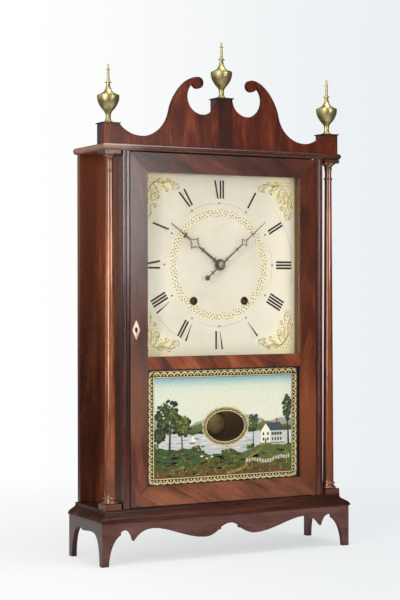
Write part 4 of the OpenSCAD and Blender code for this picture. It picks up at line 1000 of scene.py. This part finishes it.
# %% Paint trees, shrubs and grass
LEAF_DARK, LEAF_MID, LEAF_LIGHT, TRUNK = "1a2a12", "2f4518", "5c6c24", "3a2a1a"
TUFTS = ("2f4414", "6c7420", "84802c", "46340f", "7e4a16", "24380f", "3f5a1a")
GRASS = ("2f4414", "737a22", "93902f", "46340f", "8a5218", "22340e", "5c6c1c")


def crown(x, z, size, count, y, dark=LEAF_DARK, mid=LEAF_MID, light=LEAF_LIGHT, touch=0.0042):
    """A tree's leaves: dark dabs first, lighter ones nearer and towards the upper left."""
    for k in range(count):
        share = k / count
        turn, reach = rng.uniform(0, math.tau), math.sqrt(rng.random()) * (1.0 - 0.25 * share)
        away = (size[0] * reach * math.cos(turn) - 0.12 * size[0] * share,
                size[1] * reach * math.sin(turn) + 0.12 * size[1] * share)
        colour = hexed(dark if share < 0.45 else mid if share < 0.8 else light)
        scale = touch * rng.uniform(0.55, 1.1) * (1.15 - 0.6 * share)
        picture.dab(x + away[0], z + away[1], (scale, scale * 0.85), y - share * 0.00003, colour, 7, 0.35)


def trunk(x, low, high, wide, y, lean=0.0):
    picture.stroke([(x, low), (x + lean * 0.4, (low + high) / 2), (x + lean, high)],
                   lambda t: wide * (1.25 - 0.7 * t), y, 0, hexed(TRUNK))


# Bushes on the far shore, beside the oval
for k in range(60):
    x = rng.uniform(-0.12, 0.12)
    if abs(x - OVAL.x) > 0.041:
        picture.dab(x, shore_line(x) + rng.uniform(0.0005, 0.0035), (0.003, 0.0022), depth(16),
                    hexed(rng.choice(("42512c", "54633a", "6c7a48"))), 6, 0.3)

# Trees
trunk(-0.096, 0.160, 0.206, 0.0034, depth(8), 0.002)
trunk(-0.074, 0.161, 0.196, 0.0024, depth(8), -0.001)
crown(-0.098, 0.218, (0.021, 0.026), 150, depth(7))
crown(-0.072, 0.203, (0.014, 0.017), 90, depth(6.5), "203010", "40551a", "7d822c")
crown(-0.113, 0.190, (0.009, 0.013), 50, depth(6), "18260f", "2c3f16", "4a5c20")
trunk(0.052, 0.168, 0.196, 0.0018, depth(10))
crown(0.052, 0.203, (0.0085, 0.0135), 60, depth(9.5), "1e3012", "3a4e1c", "6a762a", 0.003)
trunk(0.1165, 0.165, 0.215, 0.003, depth(8), -0.002)
crown(0.1145, 0.226, (0.0075, 0.021), 80, depth(7.5), "182610", "2a3e14", "4e5e20", 0.0036)

# Shrubs, tufts on the near bank and blades of grass
for x, low, size, count in ((-0.045, 0.166, (0.010, 0.006), 40), (0.046, 0.166, (0.007, 0.004), 26),
                            (-0.118, 0.170, (0.005, 0.008), 24), (0.008, 0.160, (0.013, 0.0035), 34)):
    crown(x, low, size, count, depth(5.5), "22320f", "46581a", "7c822c", 0.0026)
for k in range(160):
    x, z = rng.uniform(-0.117, 0.117), rng.uniform(0.127, 0.160)
    if z < bank_line(x) - 0.003:
        wide = rng.uniform(0.0025, 0.007)
        picture.dab(x, z, (min(wide, 0.1215 - abs(x)), wide * 0.3), depth(5.9 if z < verge_line(x) else 11.9),
                    hexed(rng.choice(TUFTS)), 8, 0.3)
for k in range(420):
    x, z = rng.uniform(-0.119, 0.119), rng.uniform(0.1245, 0.150)
    if z < verge_line(x) - 0.001:
        tall, lean = rng.uniform(0.003, 0.0075), rng.uniform(-0.0015, 0.0015)
        blade = [(x - 0.0008, z), (x + 0.0008, z), (x + lean, min(z + tall, 0.153))]
        picture.fill(blade, depth(3 - 2 * (0.15 - z) / 0.03), hexed(rng.choice(GRASS)))
print(len(picture.bm.faces), "faces with the trees and grass")

# %% [markdown]
# The farmhouse, its fence, a boat and some sheep are flat shapes, given in millimetres. At this
# scale a painter uses one stroke for a window, and so does this picture.

# %% Build the farmhouse and the fence
WALL, WALL_SHADE, ROOF, BRICK, PANE, SHUTTER = "ebe8da", "c9cbc0", "3f4b56", "b0512f", "2b2f30", "5f6a4c"
WALLS, WINDOWS, SHUTTERS, CHIMNEYS = depth(9), depth(8.5), depth(8.4), depth(9.2)


def shape(points, y, colour):
    """A flat shape through (x, z) points in mm."""
    picture.fill([(x * MM, z * MM) for x, z in points], y, hexed(colour))


def rect(left, right, low, high, y, colour):
    """A wall, window or board."""
    shape(corners(left, right, low, high), y, colour)


rect(66, 83, 170, 190, WALLS, WALL)
shape([(66, 190), (83, 190), (74.5, 201)], WALLS, WALL)
rect(83, 107, 170, 190, WALLS, WALL_SHADE)
shape([(74.5, 202), (84.5, 189), (108.5, 189), (101, 202)], depth(8.8), ROOF)
picture.stroke([(x * MM, z * MM) for x, z in ((64.6, 188.6), (74.5, 201.8), (84.4, 188.6))], 1.3 * MM,
               depth(8.6), 0, hexed(ROOF))
rect(93, 97, 200, 207.5, CHIMNEYS, BRICK)
rect(92.4, 97.6, 207, 208.4, depth(9.1), "8a3c24")
rect(67.5, 71, 201, 207, CHIMNEYS, BRICK)
for x in (69, 77.2):
    rect(x, x + 3, 182, 187, WINDOWS, PANE)
    rect(x, x + 3, 173.6, 178.8, WINDOWS, PANE)
rect(73.1, 76, 170, 177.5, WINDOWS, "55603a")
for x in (86, 91, 96, 101):
    rect(x, x + 2.6, 182, 186.6, WINDOWS, PANE)
    rect(x, x + 2.6, 173.4, 178.4, WINDOWS, PANE)
    rect(x - 0.9, x, 182, 186.6, SHUTTERS, SHUTTER)
    rect(x + 2.6, x + 3.5, 182, 186.6, SHUTTERS, SHUTTER)
rect(64, 110, 168.6, 170.6, depth(8.2), "7d8450")
for k in range(17):
    x = 40 + 4.8 * k
    low = verge_line(x * MM) / MM - 1 + 0.04 * k
    rect(x, x + 1.1, low, low + 6.2, depth(4.5), "e3e1d2")
for height in (1.6, 4.2):
    picture.stroke([(x * MM, verge_line(x * MM) + (height - 1) * MM) for x in range(38, 121, 4)],
                   0.75 * MM, depth(4.6), 0, hexed("d6d5c6"))
# A path to the house, a sailing boat and three sheep
picture.stroke(smooth_path([(0.004, 0.126), (0.036, 0.134), (0.040, 0.146), (0.060, 0.157), (0.074, 0.1695)]),
               lambda t: (4.6 - 3.5 * t) * MM, depth(5.2), 0, hexed("9c7a3c"))
shape([(-62, 176.5), (-50, 176.5), (-52, 174.5), (-60, 174.5)], depth(15), "4c3521")
shape([(-56.5, 177.0), (-56.5, 188.0), (-50.5, 178.0)], depth(15), "efece0")
shape([(-57.2, 177.0), (-57.2, 186.0), (-61.0, 177.5)], depth(15), "dcdccf")
for x, z in ((-0.031, 0.151), (-0.022, 0.1535), (-0.040, 0.1545)):
    picture.dab(x, z, (0.0023, 0.0014), depth(4), hexed("e6e2d3"), 8, 0.12)
    picture.dab(x + 0.0022, z + 0.0006, (0.0008, 0.0007), depth(3.9), hexed("4a4335"), 6, 0.1)
picture.finish("tablet_painting", reverse_paint("reverse_glass_paint"), "door", "dial_paint")

# %% [markdown]
# A black ground frames the picture, and a pale coat of size backs it all, so that nothing in the
# case shows through thin paint. Both leave the oval open.

# %% Add the black ground and the back coat
ground = Layer()
for area in ((SHEET[0], PICTURE[0], SHEET[2], SHEET[3]), (PICTURE[1], SHEET[1], SHEET[2], SHEET[3]),
             (PICTURE[0], PICTURE[1], SHEET[2], PICTURE[2]), (PICTURE[0], PICTURE[1], PICTURE[3], SHEET[3])):
    ground.fill(corners(*area), depth(10))
ground.finish("tablet_black_ground", ink("asphaltum_black", "15110d", "2c2018", 0.5), "door", "dark_plate")
backing = Layer()
band(backing, lambda x: SHEET[2], lambda x: SHEET[3], depth(27), lambda x, z: (1, 1, 1),
     SHEET[0], SHEET[1], 0.004)
backing.finish("tablet_back_coat", ink("back_coat", "8d8a80", "6e675a", 0.6), "door", "dial_paint")

# %% [markdown]
# The gilt border is a row of crescents with their backs outwards, each with a small dot, between an
# inner line and a scalloped outer line. One crescent is drawn and repeated along every side.

# %% Gild the border
CRESCENTS_ACROSS, CRESCENTS_UP, CRESCENTS_ROUND = 21, 13, 27
LINE_GAP, LINE_WIDTH, INSET = 1.2 * MM, 1.25 * MM, 4 * MM
gilt = Layer()


def crescent(foot_point, outwards, half, thick=0.38, dot=0.24):
    """A lunette: thick at its crown and thin at its ends, on a line, with a dot below it."""
    along = Vector((-outwards.y, outwards.x))
    arc = [foot_point + along * half * math.cos(turn) + outwards * half * math.sin(turn)
           for turn in (math.pi * k / 10 for k in range(11))]
    gilt.stroke(arc, lambda t: half * (0.10 + thick * math.sin(math.pi * t)), depth(0), 0.00003)
    centre = foot_point + outwards * half * 0.30
    gilt.dab(centre.x, centre.y, (half * dot, half * dot), depth(0), sides=8, wobble=0.1)


def four_sides(area, out, short):
    """Top, bottom, left and right of an area: both ends, the number of crescents and the way out."""
    left, right, low, high = area
    return [[Vector(start), Vector(end), count, Vector(outwards)] for start, end, count, outwards in (
        ((left + short, high + out), (right - short, high + out), CRESCENTS_ACROSS, (0, 1)),
        ((left + short, low - out), (right - short, low - out), CRESCENTS_ACROSS, (0, -1)),
        ((left - out, low + short), (left - out, high - short), CRESCENTS_UP, (-1, 0)),
        ((right + out, low + short), (right + out, high - short), CRESCENTS_UP, (1, 0)))]


inner_area = (PICTURE[0] - LINE_GAP, PICTURE[1] + LINE_GAP, PICTURE[2] - LINE_GAP, PICTURE[3] + LINE_GAP)
inner_line = corners(*inner_area)
for a, b in zip(inner_line, inner_line[1:] + inner_line[:1]):
    gilt.stroke([Vector(a), Vector(b)], LINE_WIDTH, depth(0))
for start, end, count, outwards in four_sides(inner_area, 1.4 * MM, 0):
    pitch = (end - start).length / count
    for k in range(count):
        crescent(start.lerp(end, (k + 0.5) / count), outwards, pitch * 0.47)
# The wavy outer line, one wave to a crescent
for start, end, count, outwards in four_sides(BORDER, -1 * MM, INSET):
    wave = [start.lerp(end, k / (count * 6)) + outwards * 0.9 * MM * abs(math.sin(math.pi * k / 6))
            for k in range(count * 6 + 1)]
    gilt.stroke(wave, 0.75 * MM, depth(0.5))
# A quarter round and a slanting crescent in each corner
for across, x in ((-1, BORDER[0]), (1, BORDER[1])):
    for up, z in ((-1, BORDER[2]), (1, BORDER[3])):
        middle = Vector((x - across * INSET, z - up * INSET))
        quarter = [middle + Vector((across * math.cos(turn), up * math.sin(turn))) * 3 * MM
                   for turn in (math.pi * k / 16 for k in range(9))]
        gilt.stroke(quarter, 1.1 * MM, depth(0))
        crescent(middle - Vector((across, up)) * 1.6 * MM, Vector((across, up)).normalized(), 3.6 * MM)
print("the border has", len(gilt.bm.faces), "faces")

# %% [markdown]
# The ring round the oval has two rows of crescents back to back. They stand at equal steps along the
# edge, which are unequal steps in angle, so the edge is first measured in short pieces.

# %% Gild the ring round the oval


def oval_point(turn, grow):
    """A point on the oval, moved outwards by grow, and the way out."""
    out = Vector((math.cos(turn) / OVAL_HALF[0], math.sin(turn) / OVAL_HALF[1])).normalized()
    return OVAL + Vector((OVAL_HALF[0] * math.cos(turn), OVAL_HALF[1] * math.sin(turn))) + out * grow, out


def oval_line(grow, count=96):
    """A closed line round the oval."""
    return [oval_point(math.tau * k / count, grow)[0] for k in range(count + 1)]


def oval_turns(count, fine_steps=720):
    """Angles that divide the oval's edge into equal lengths, and that length."""
    fine = oval_line(3 * MM, fine_steps)
    lengths = [0.0]
    for a, b in zip(fine, fine[1:]):
        lengths.append(lengths[-1] + (b - a).length)
    turns, k = [], 0
    for n in range(count):
        while lengths[k] < lengths[-1] * n / count:
            k += 1
        turns.append(math.tau * k / fine_steps)
    return turns, lengths[-1] / count


turns, pitch = oval_turns(CRESCENTS_ROUND)
for turn in turns:
    point, out = oval_point(turn, 3.3 * MM)
    crescent(point, out, pitch * 0.48, 0.46, 0.22)
for turn in turns:
    point, out = oval_point(turn + math.pi / CRESCENTS_ROUND, 2.9 * MM)
    crescent(point, -out, pitch * 0.36, 0.46, 0.0)
for grow, wide in ((0.3, 0.6), (3.1, 0.35)):
    gilt.stroke(oval_line(grow * MM), wide * MM, depth(0))
gilt.finish("tablet_gilding", gilding("tablet_leaf", "efe0a6", "8a6c2c", 0.4), "door", "aged_brass")
ring = Layer()
inner, outer = oval_line(0), oval_line(5.2 * MM)
for a, b, c, d in zip(inner, outer, outer[1:], inner[1:]):
    ring.fill([a, b, c, d], depth(2))
ring.finish("oval_ground", ink("olive_ground", "1c1508", "0e0b05", 0.5), "door", "dark_plate")

# %% [markdown]
# ## Collet and pin
# A steel collet and a cross pin hold the minute hand on its arbor. The collet is a profile spun
# about the arbor's axis; an edge split keeps its steps crisp under smooth shading.

# %% Turn the collet
HAND_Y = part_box("minute_hand")[0][1]
COLLET_PROFILE = [(0, -3.4), (1.3, -3.35), (1.9, -2.9), (2.0, -1.3), (3.4, -1.15), (4.9, -0.7), (5.2, -0.3),
                  (5.0, 0.02)]
PIN_RADIUS, PIN_LEAN = 0.5 * MM, math.radians(38)
bright_steel = dark_iron("collet_steel", "b8b4a6", 0.24, 700)

collet = bmesh.new()
points = [collet.verts.new((DIAL.x + r * MM, HAND_Y + y * MM, DIAL.z)) for r, y in COLLET_PROFILE]
edges = [collet.edges.new(pair) for pair in zip(points, points[1:])]
bmesh.ops.spin(collet, geom=points + edges, cent=(DIAL.x, 0, DIAL.z), axis=(0, 1, 0), angle=math.tau,
               steps=40, use_merge=True)
bmesh.ops.remove_doubles(collet, verts=collet.verts, dist=1e-6)
bmesh.ops.recalc_face_normals(collet, faces=collet.faces)
for face in collet.faces:
    face.smooth = True
made = add_piece("minute_collet", collet, bright_steel, "minute_hand")
made.modifiers.new("edges", "EDGE_SPLIT").split_angle = math.radians(35)

pin = bmesh.new()
lean = Vector((math.sin(PIN_LEAN), 0, math.cos(PIN_LEAN)))
middle = Vector((DIAL.x, HAND_Y - 1.75 * MM, DIAL.z))
low, high = middle - lean * 3.6 * MM, middle + lean * 4.2 * MM
turn = (high - low).to_track_quat("Z", "Y").to_matrix().to_4x4()
bmesh.ops.create_cone(pin, cap_ends=True, segments=12, radius1=PIN_RADIUS, radius2=PIN_RADIUS,
                      depth=(high - low).length, matrix=Matrix.Translation((low + high) / 2) @ turn)
bmesh.ops.recalc_face_normals(pin, faces=pin.faces)
add_piece("minute_pin", pin, bright_steel, "minute_hand")

# %% [markdown]
# Iron thimbles cover the squares of the winding arbors, where the key grips. Each is a cube,
# stretched, opened at the back, bevelled and set in at its front.

# %% Cap the winding squares
THIMBLE_WIDTH, THIMBLE_LENGTH, THIMBLE_LEAD = 4.5 * MM, 4.2 * MM, 0.2 * MM
for name, side in (("time", 1), ("strike", -1)):
    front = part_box(name + "_drum")[0][1] - THIMBLE_LEAD
    bm = bmesh.new()
    bmesh.ops.create_cube(bm, size=1)
    for vert in bm.verts:
        vert.co = Vector((side * WINDING.x + vert.co.x * THIMBLE_WIDTH,
                          front + (vert.co.y + 0.5) * THIMBLE_LENGTH,
                          WINDING.z + vert.co.z * THIMBLE_WIDTH))
    bmesh.ops.delete(bm, geom=[f for f in bm.faces if f.normal.y > 0.5], context="FACES")
    bmesh.ops.bevel(bm, geom=bm.edges[:], offset=0.5 * MM, segments=3, profile=0.5, affect="EDGES",
                    material=-1)
    bmesh.ops.inset_individual(bm, faces=[f for f in bm.faces if f.normal.y < -0.9], thickness=0.6 * MM,
                               depth=-0.3 * MM)
    add_piece(name + "_winding_square", bm, bright_steel, name + "_drum")

# %% [markdown]
# ## Weight cords
# Each cord is three strands of linen with a lay of 6 mm. It leaves the drum, runs up to the pulley,
# over it and straight down to the eye of its weight, where it is tied round the wire. The strands
# are real twisted tubes, because their lay shows in the outline of so thick a cord.

# %% Twist the strands
CORD_RADIUS, LAY = 1.0 * MM, 6 * MM
STRANDS, SIDES, STEPS_A_LAY = 3, 5, 9
DRUM_LEAD, PULLEY_RADIUS = 15.3 * MM, 13 * MM
PULLEY = joints_at["time_pulley_turn"]
(cord_left, cord_front, EYE_TOP), (cord_right, _, _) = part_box("time_cord")
CORD_Y = cord_front + CORD_RADIUS
DROP_X = (cord_left + cord_right) / 2


def even_path(points, step):
    """The same line with points an equal step apart."""
    points = [Vector(p) for p in points]
    line, left = [points[0]], step
    for a, b in zip(points, points[1:]):
        length = (b - a).length
        while left <= length:
            line.append(a.lerp(b, left / length))
            left += step
        left -= length
    return line + [points[-1]]


def strands(bm, points, radius, lay):
    """Twists tubes round a path."""
    path = even_path(points, lay / STEPS_A_LAY)
    across = (path[1] - path[0]).orthogonal().normalized()
    tubes = [[] for _ in range(STRANDS)]
    for i, p in enumerate(path):
        along = (path[min(i + 1, len(path) - 1)] - path[max(i - 1, 0)]).normalized()
        across = (across - along * across.dot(along)).normalized()
        other = along.cross(across)
        for j, tube in enumerate(tubes):
            turn = math.tau * (i / STEPS_A_LAY + j / STRANDS)
            middle = p + (across * math.cos(turn) + other * math.sin(turn)) * radius * 0.5
            tube.append([bm.verts.new(middle + (across * math.cos(math.tau * k / SIDES)
                                                + other * math.sin(math.tau * k / SIDES)) * radius * 0.52)
                         for k in range(SIDES)])
    for tube in tubes:
        for low, high in zip(tube, tube[1:]):
            for k in range(SIDES):
                n = (k + 1) % SIDES
                bm.faces.new((low[k], low[n], high[n], high[k])).smooth = True
        bm.faces.new(tube[0][::-1])
        bm.faces.new(tube[-1])


def cord_material():
    f = Finish("linen_cord")
    fuzz = f.noise(900, detail=3, rough=0.7)
    grime = f.noise(45, detail=3)
    f.set(Base_Color=f.mix(grime.step(0.4, 0.7) * 0.6, hexed("cbb98f"), hexed("8a7448")),
          Roughness=fuzz * 0.1 + 0.82, Specular_IOR_Level=0.15, Normal=f.bump(fuzz, 0.00015, 0.7))
    return f.material


print("a strand turns once in", round(LAY / MM), "mm, in", STEPS_A_LAY, "steps")

# %% [markdown]
# The path of a cord is worked out from the drum, the pulley and the eye of the weight: a turn and a quarter
# on the drum, the straight line that touches both wheels, and an arc over the pulley. The drop is a piece of
# its own.

# %% Run the cords and tie the knots
TURNS_ON_DRUM, DRUM_STEPS, DRUM_SHIFT, END_SUNK = 1.25, 45, 4.2 * MM, 1.4 * MM
WRAP, LOOP = 1.95 * MM, 2.35 * MM


def cord_run(side):
    """Drum, tangent, pulley arc: points from the cord's fixed end to the top of its drop."""
    reach = Vector((PULLEY.x - WINDING.x, PULLEY.z - WINDING.z))
    turn = math.atan2(reach.y, reach.x) - math.asin((DRUM_LEAD - PULLEY_RADIUS) / reach.length)
    leave = turn + math.pi / 2
    points = []
    for k in range(DRUM_STEPS, -1, -1):
        bend = leave + TURNS_ON_DRUM * math.tau * k / DRUM_STEPS
        lead = DRUM_LEAD - (END_SUNK if k == DRUM_STEPS else 0)
        points.append((WINDING.x + lead * math.cos(bend), CORD_Y + DRUM_SHIFT * k / DRUM_STEPS,
                       WINDING.z + lead * math.sin(bend)))
    for k in range(17):
        bend = leave * (1 - k / 16)
        points.append((PULLEY.x + PULLEY_RADIUS * math.cos(bend), CORD_Y,
                       PULLEY.z + PULLEY_RADIUS * math.sin(bend)))
    return [(side * x, y, z) for x, y, z in points]


linen = cord_material()
runs = bmesh.new()
for side in (1, -1):
    strands(runs, cord_run(side), CORD_RADIUS, LAY)
add_piece("twisted_cord_runs", runs, linen, "case", "cord_runs")
for name, side in (("time", 1), ("strike", -1)):
    x = side * DROP_X
    drop = bmesh.new()
    strands(drop, [(x, CORD_Y, PULLEY.z), (x, CORD_Y, EYE_TOP)], CORD_RADIUS, LAY)
    made = add_piece(name + "_cord_drop", drop, linen, "case", name + "_cord")
    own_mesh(made)
    # The knot: wraps round the drop's end, and a loop through the eye
    knot = bmesh.new()
    wraps = [(x + WRAP * math.cos(t), CORD_Y + WRAP * math.sin(t), EYE_TOP + 1.2 * MM + t * 0.28 * MM)
             for t in (math.tau * k / 14 for k in range(50))]
    loop = [(x, CORD_Y + LOOP * math.sin(t), EYE_TOP - 1.5 * MM + LOOP * math.cos(t))
            for t in (math.tau * k / 20 for k in range(21))]
    for path in (wraps, loop):
        strands(knot, path, 0.8 * MM, 4 * MM)
    add_piece(name + "_cord_knot", knot, linen, name + "_weight")

# %% [markdown]
# ## Putty
# Old putty holds both glasses in their rebates, seen when the door stands open. Its section runs
# round each glass as four rings of edges with an uneven lip, and bridging them makes the bead.

# %% Run the putty
DOOR_FRONT, DOOR_BACK = (corner[1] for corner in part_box("door_stile_left"))
PUTTY_STEPS = 24


def putty_material():
    f = Finish("old_putty")
    lumps = f.noise(90, detail=4, rough=0.6)
    f.set(Base_Color=f.mix(lumps.step(0.35, 0.7), hexed("a39a84"), hexed("77694f")), Roughness=0.85,
          Normal=f.bump(lumps * 0.6 - f.cracks(70, 0.06), 0.0004, 0.8))
    return f.material


def uneven_ring(bm, area, y, uneven):
    """Edges round an area; uneven ones sag in or out, and the corners keep their place."""
    frame_corners = corners(*area)
    ring = []
    for a, b in zip(frame_corners, frame_corners[1:] + frame_corners[:1]):
        for k in range(PUTTY_STEPS):
            sag = rng.uniform(-0.5, 0.5) * MM * min(k, 1) if uneven else 0
            share = k / PUTTY_STEPS
            ring.append(bm.verts.new((a[0] + (b[0] - a[0]) * share + sag * (a[0] == b[0]), y + abs(sag) * 0.3,
                                      a[1] + (b[1] - a[1]) * share + sag * (a[1] == b[1]))))
    return [bm.edges.new(pair) for pair in zip(ring, ring[1:] + ring[:1])]


old_putty = putty_material()
for glass in ("dial_glass", "tablet_glass"):
    (left, _, low), (right, back, high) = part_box(glass)
    bm = bmesh.new()
    section = ((0.0, back + 0.7 * MM), (4.6 * MM, back + 0.7 * MM), (3.2 * MM, back + 2.6 * MM),
               (0.0, DOOR_BACK - 0.7 * MM))
    rings = [uneven_ring(bm, (left + inset, right - inset, low + inset, high - inset), y, inset > 0)
             for inset, y in section]
    for one, other in zip(rings, rings[1:] + rings[:1]):
        bmesh.ops.bridge_loops(bm, edges=one + other)
    bmesh.ops.recalc_face_normals(bm, faces=bm.faces)
    for face in bm.faces:
        face.smooth = True
    add_piece(glass + "_putty", bm, old_putty, "door")

# %% [markdown]
# The stiles and rails of the door meet in mitres at its corners and in straight joints at the middle
# rail. Thin strokes on the front show them, because the boards are separate solids without a gap.

# %% Draw the joint lines
RAIL_HEIGHT = 30 * MM
DOOR_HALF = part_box("door_stile_right")[1][0]
DOOR_LOW, DOOR_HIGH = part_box("door_rail_bottom")[0][2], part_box("door_rail_top")[1][2]
(_, _, MIDDLE_LOW), (OPEN_HALF, _, MIDDLE_HIGH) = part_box("door_rail_middle")
JOINTS = (((DOOR_HALF, DOOR_HIGH), (OPEN_HALF, DOOR_HIGH - RAIL_HEIGHT)),
          ((DOOR_HALF, DOOR_LOW), (OPEN_HALF, DOOR_LOW + RAIL_HEIGHT)),
          ((OPEN_HALF, MIDDLE_LOW), (OPEN_HALF, MIDDLE_HIGH)))
lines = Layer()
for side in (-1, 1):
    for start, end in JOINTS:
        a, b = Vector((side * start[0], start[1])), Vector((side * end[0], end[1]))
        lines.stroke([a.lerp(b, k / 12) for k in range(13)],
                     lambda t: (0.42 + 0.12 * math.sin(9 * t)) * MM, DOOR_FRONT - 0.02 * MM)
lines.finish("door_joint_lines", ink("joint_dirt", "140906", "2a130b", 0.4), "door", "mahogany")

# %% [markdown]
# ## Floor, backdrop and lamps
# The photograph shows the clock on a white sweep under soft studio light: a tall soft lamp from
# the left front, a weaker one from the right, and light from above. The sweep's whiteness comes
# from its own colour, so the lamps stay plain. A faint lamp inside the case brings up what shows
# through the oval.

# %% Lay the sweep
ACROSS = (math.cos(math.radians(YAW)), -math.sin(math.radians(YAW)))
EDGE = 0.13
WHITE, SHADE = hexed("ffffff"), hexed("ecf0f2")


def ray(tree, kind):
    """1 for rays of one kind, such as those from the camera."""
    return node(tree, "ShaderNodeLightPath", out="Is " + kind + " Ray")


def sweep_material():
    """White paper. Near the clock it takes the light; far off it is as white as the backdrop."""
    f = Finish("white_sweep")
    x, y = f.axis("X"), f.axis("Y")
    far = ((x * x + y * y) ** 0.5).step(0.4, 1.1)
    # A shade darker to the right of the line from CAMERA_PLACE through the clock, as the backdrop is
    seen_x, seen_y = x - CAMERA_PLACE[0], y - CAMERA_PLACE[1]
    across = (seen_x * ACROSS[0] + seen_y * ACROSS[1]) / (seen_x * seen_x + seen_y * seen_y) ** 0.5
    tone = f.mix(across.step(-EDGE, EDGE), WHITE, SHADE)
    glow = node(f.tree, "ShaderNodeEmission", None, tone, far * 0.06 + 0.94)
    f.set(Base_Color=hexed("dad9da"), Roughness=0.9, Specular_IOR_Level=0.1)
    lit = Wire(f.tree, f.shader.outputs[0])
    both = node(f.tree, "ShaderNodeMixShader", None, (far * 0.3 + 0.7) * ray(f.tree, "Camera"), lit, glow)
    dim = node(f.tree, "ShaderNodeEmission", None, SHADE, 0.1)
    f.show(node(f.tree, "ShaderNodeMixShader", None, far * ray(f.tree, "Glossy"), both, dim))
    return f.material


def floor():
    bm = bmesh.new()
    bmesh.ops.create_grid(bm, x_segments=1, y_segments=1, size=30)
    mesh = bpy.data.meshes.new("floor")
    bm.to_mesh(mesh)
    bm.free()
    made = bpy.data.objects.new("floor", mesh)
    bpy.context.scene.collection.objects.link(made)
    made.data.materials.append(sweep_material())


floor()
print("the floor is on the stage")

# %% [markdown]
# The world is white to the camera, dimmer for the light it gives, and dark at the front where the
# glass and the varnish mirror it. Area lamps stand in for the softboxes.

# %% Light the clock


def studio_world(around, left, front):
    """White to the camera; a dimmer surround lights the clock, brighter to the left when mirrored."""
    world = bpy.data.worlds.new("studio")
    world.use_nodes = True
    bpy.context.scene.world = world
    tree = world.node_tree
    way = node(tree, "ShaderNodeTexCoord", out="Generated")
    x = node(tree, "ShaderNodeSeparateXYZ", None, way, out="X")
    y = node(tree, "ShaderNodeSeparateXYZ", None, way, out="Y")
    seen, mirrored = ray(tree, "Camera"), ray(tree, "Glossy")
    mirror_light = (1 - x.step(-0.75, -0.1)) * (left - front) + front
    strength = seen + (1 - seen) * (mirrored * mirror_light + (1 - mirrored) * around)
    share = (x * ACROSS[0] + y * ACROSS[1]).step(-EDGE, EDGE)
    background = next(n for n in tree.nodes if n.type == "BACKGROUND")
    feed(tree, background.inputs["Color"], mixed(tree, share, WHITE, SHADE))
    feed(tree, background.inputs["Strength"], strength)


def lamp(name, place, aim, size, power):
    light = bpy.data.lights.new(name, "AREA")
    light.shape, light.size, light.size_y = "RECTANGLE", size[0], size[1]
    light.energy = power
    made = bpy.data.objects.new(name, light)
    made.location = place
    made.rotation_euler = (Vector(aim) - Vector(place)).to_track_quat("-Z", "Y").to_euler()
    bpy.context.scene.collection.objects.link(made)
    print(name, "gives", power, "W")
    return made


AIM = (0, 0, 0.45)
studio_world(around=0.8, left=0.7, front=0.12)
lamp("left_softbox", (-2.35, -1.45, 1.05), AIM, (0.6, 2.0), 42)
lamp("front_softbox", (0.76, -2.84, 0.71), AIM, (0.72, 0.48), 17)
lamp("top_softbox", (0.2, -0.6, 2.6), (0, 0, 0.4), (1.6, 1.2), 46)
inside = lamp("case_fill", (0.04, -0.02, 0.27), (0.05, 0.06, 0.2), (0.05, 0.02), 0.014)
inside.visible_camera = inside.visible_glossy = False
bpy.context.scene.view_settings.view_transform = "Standard"

# %% [markdown]
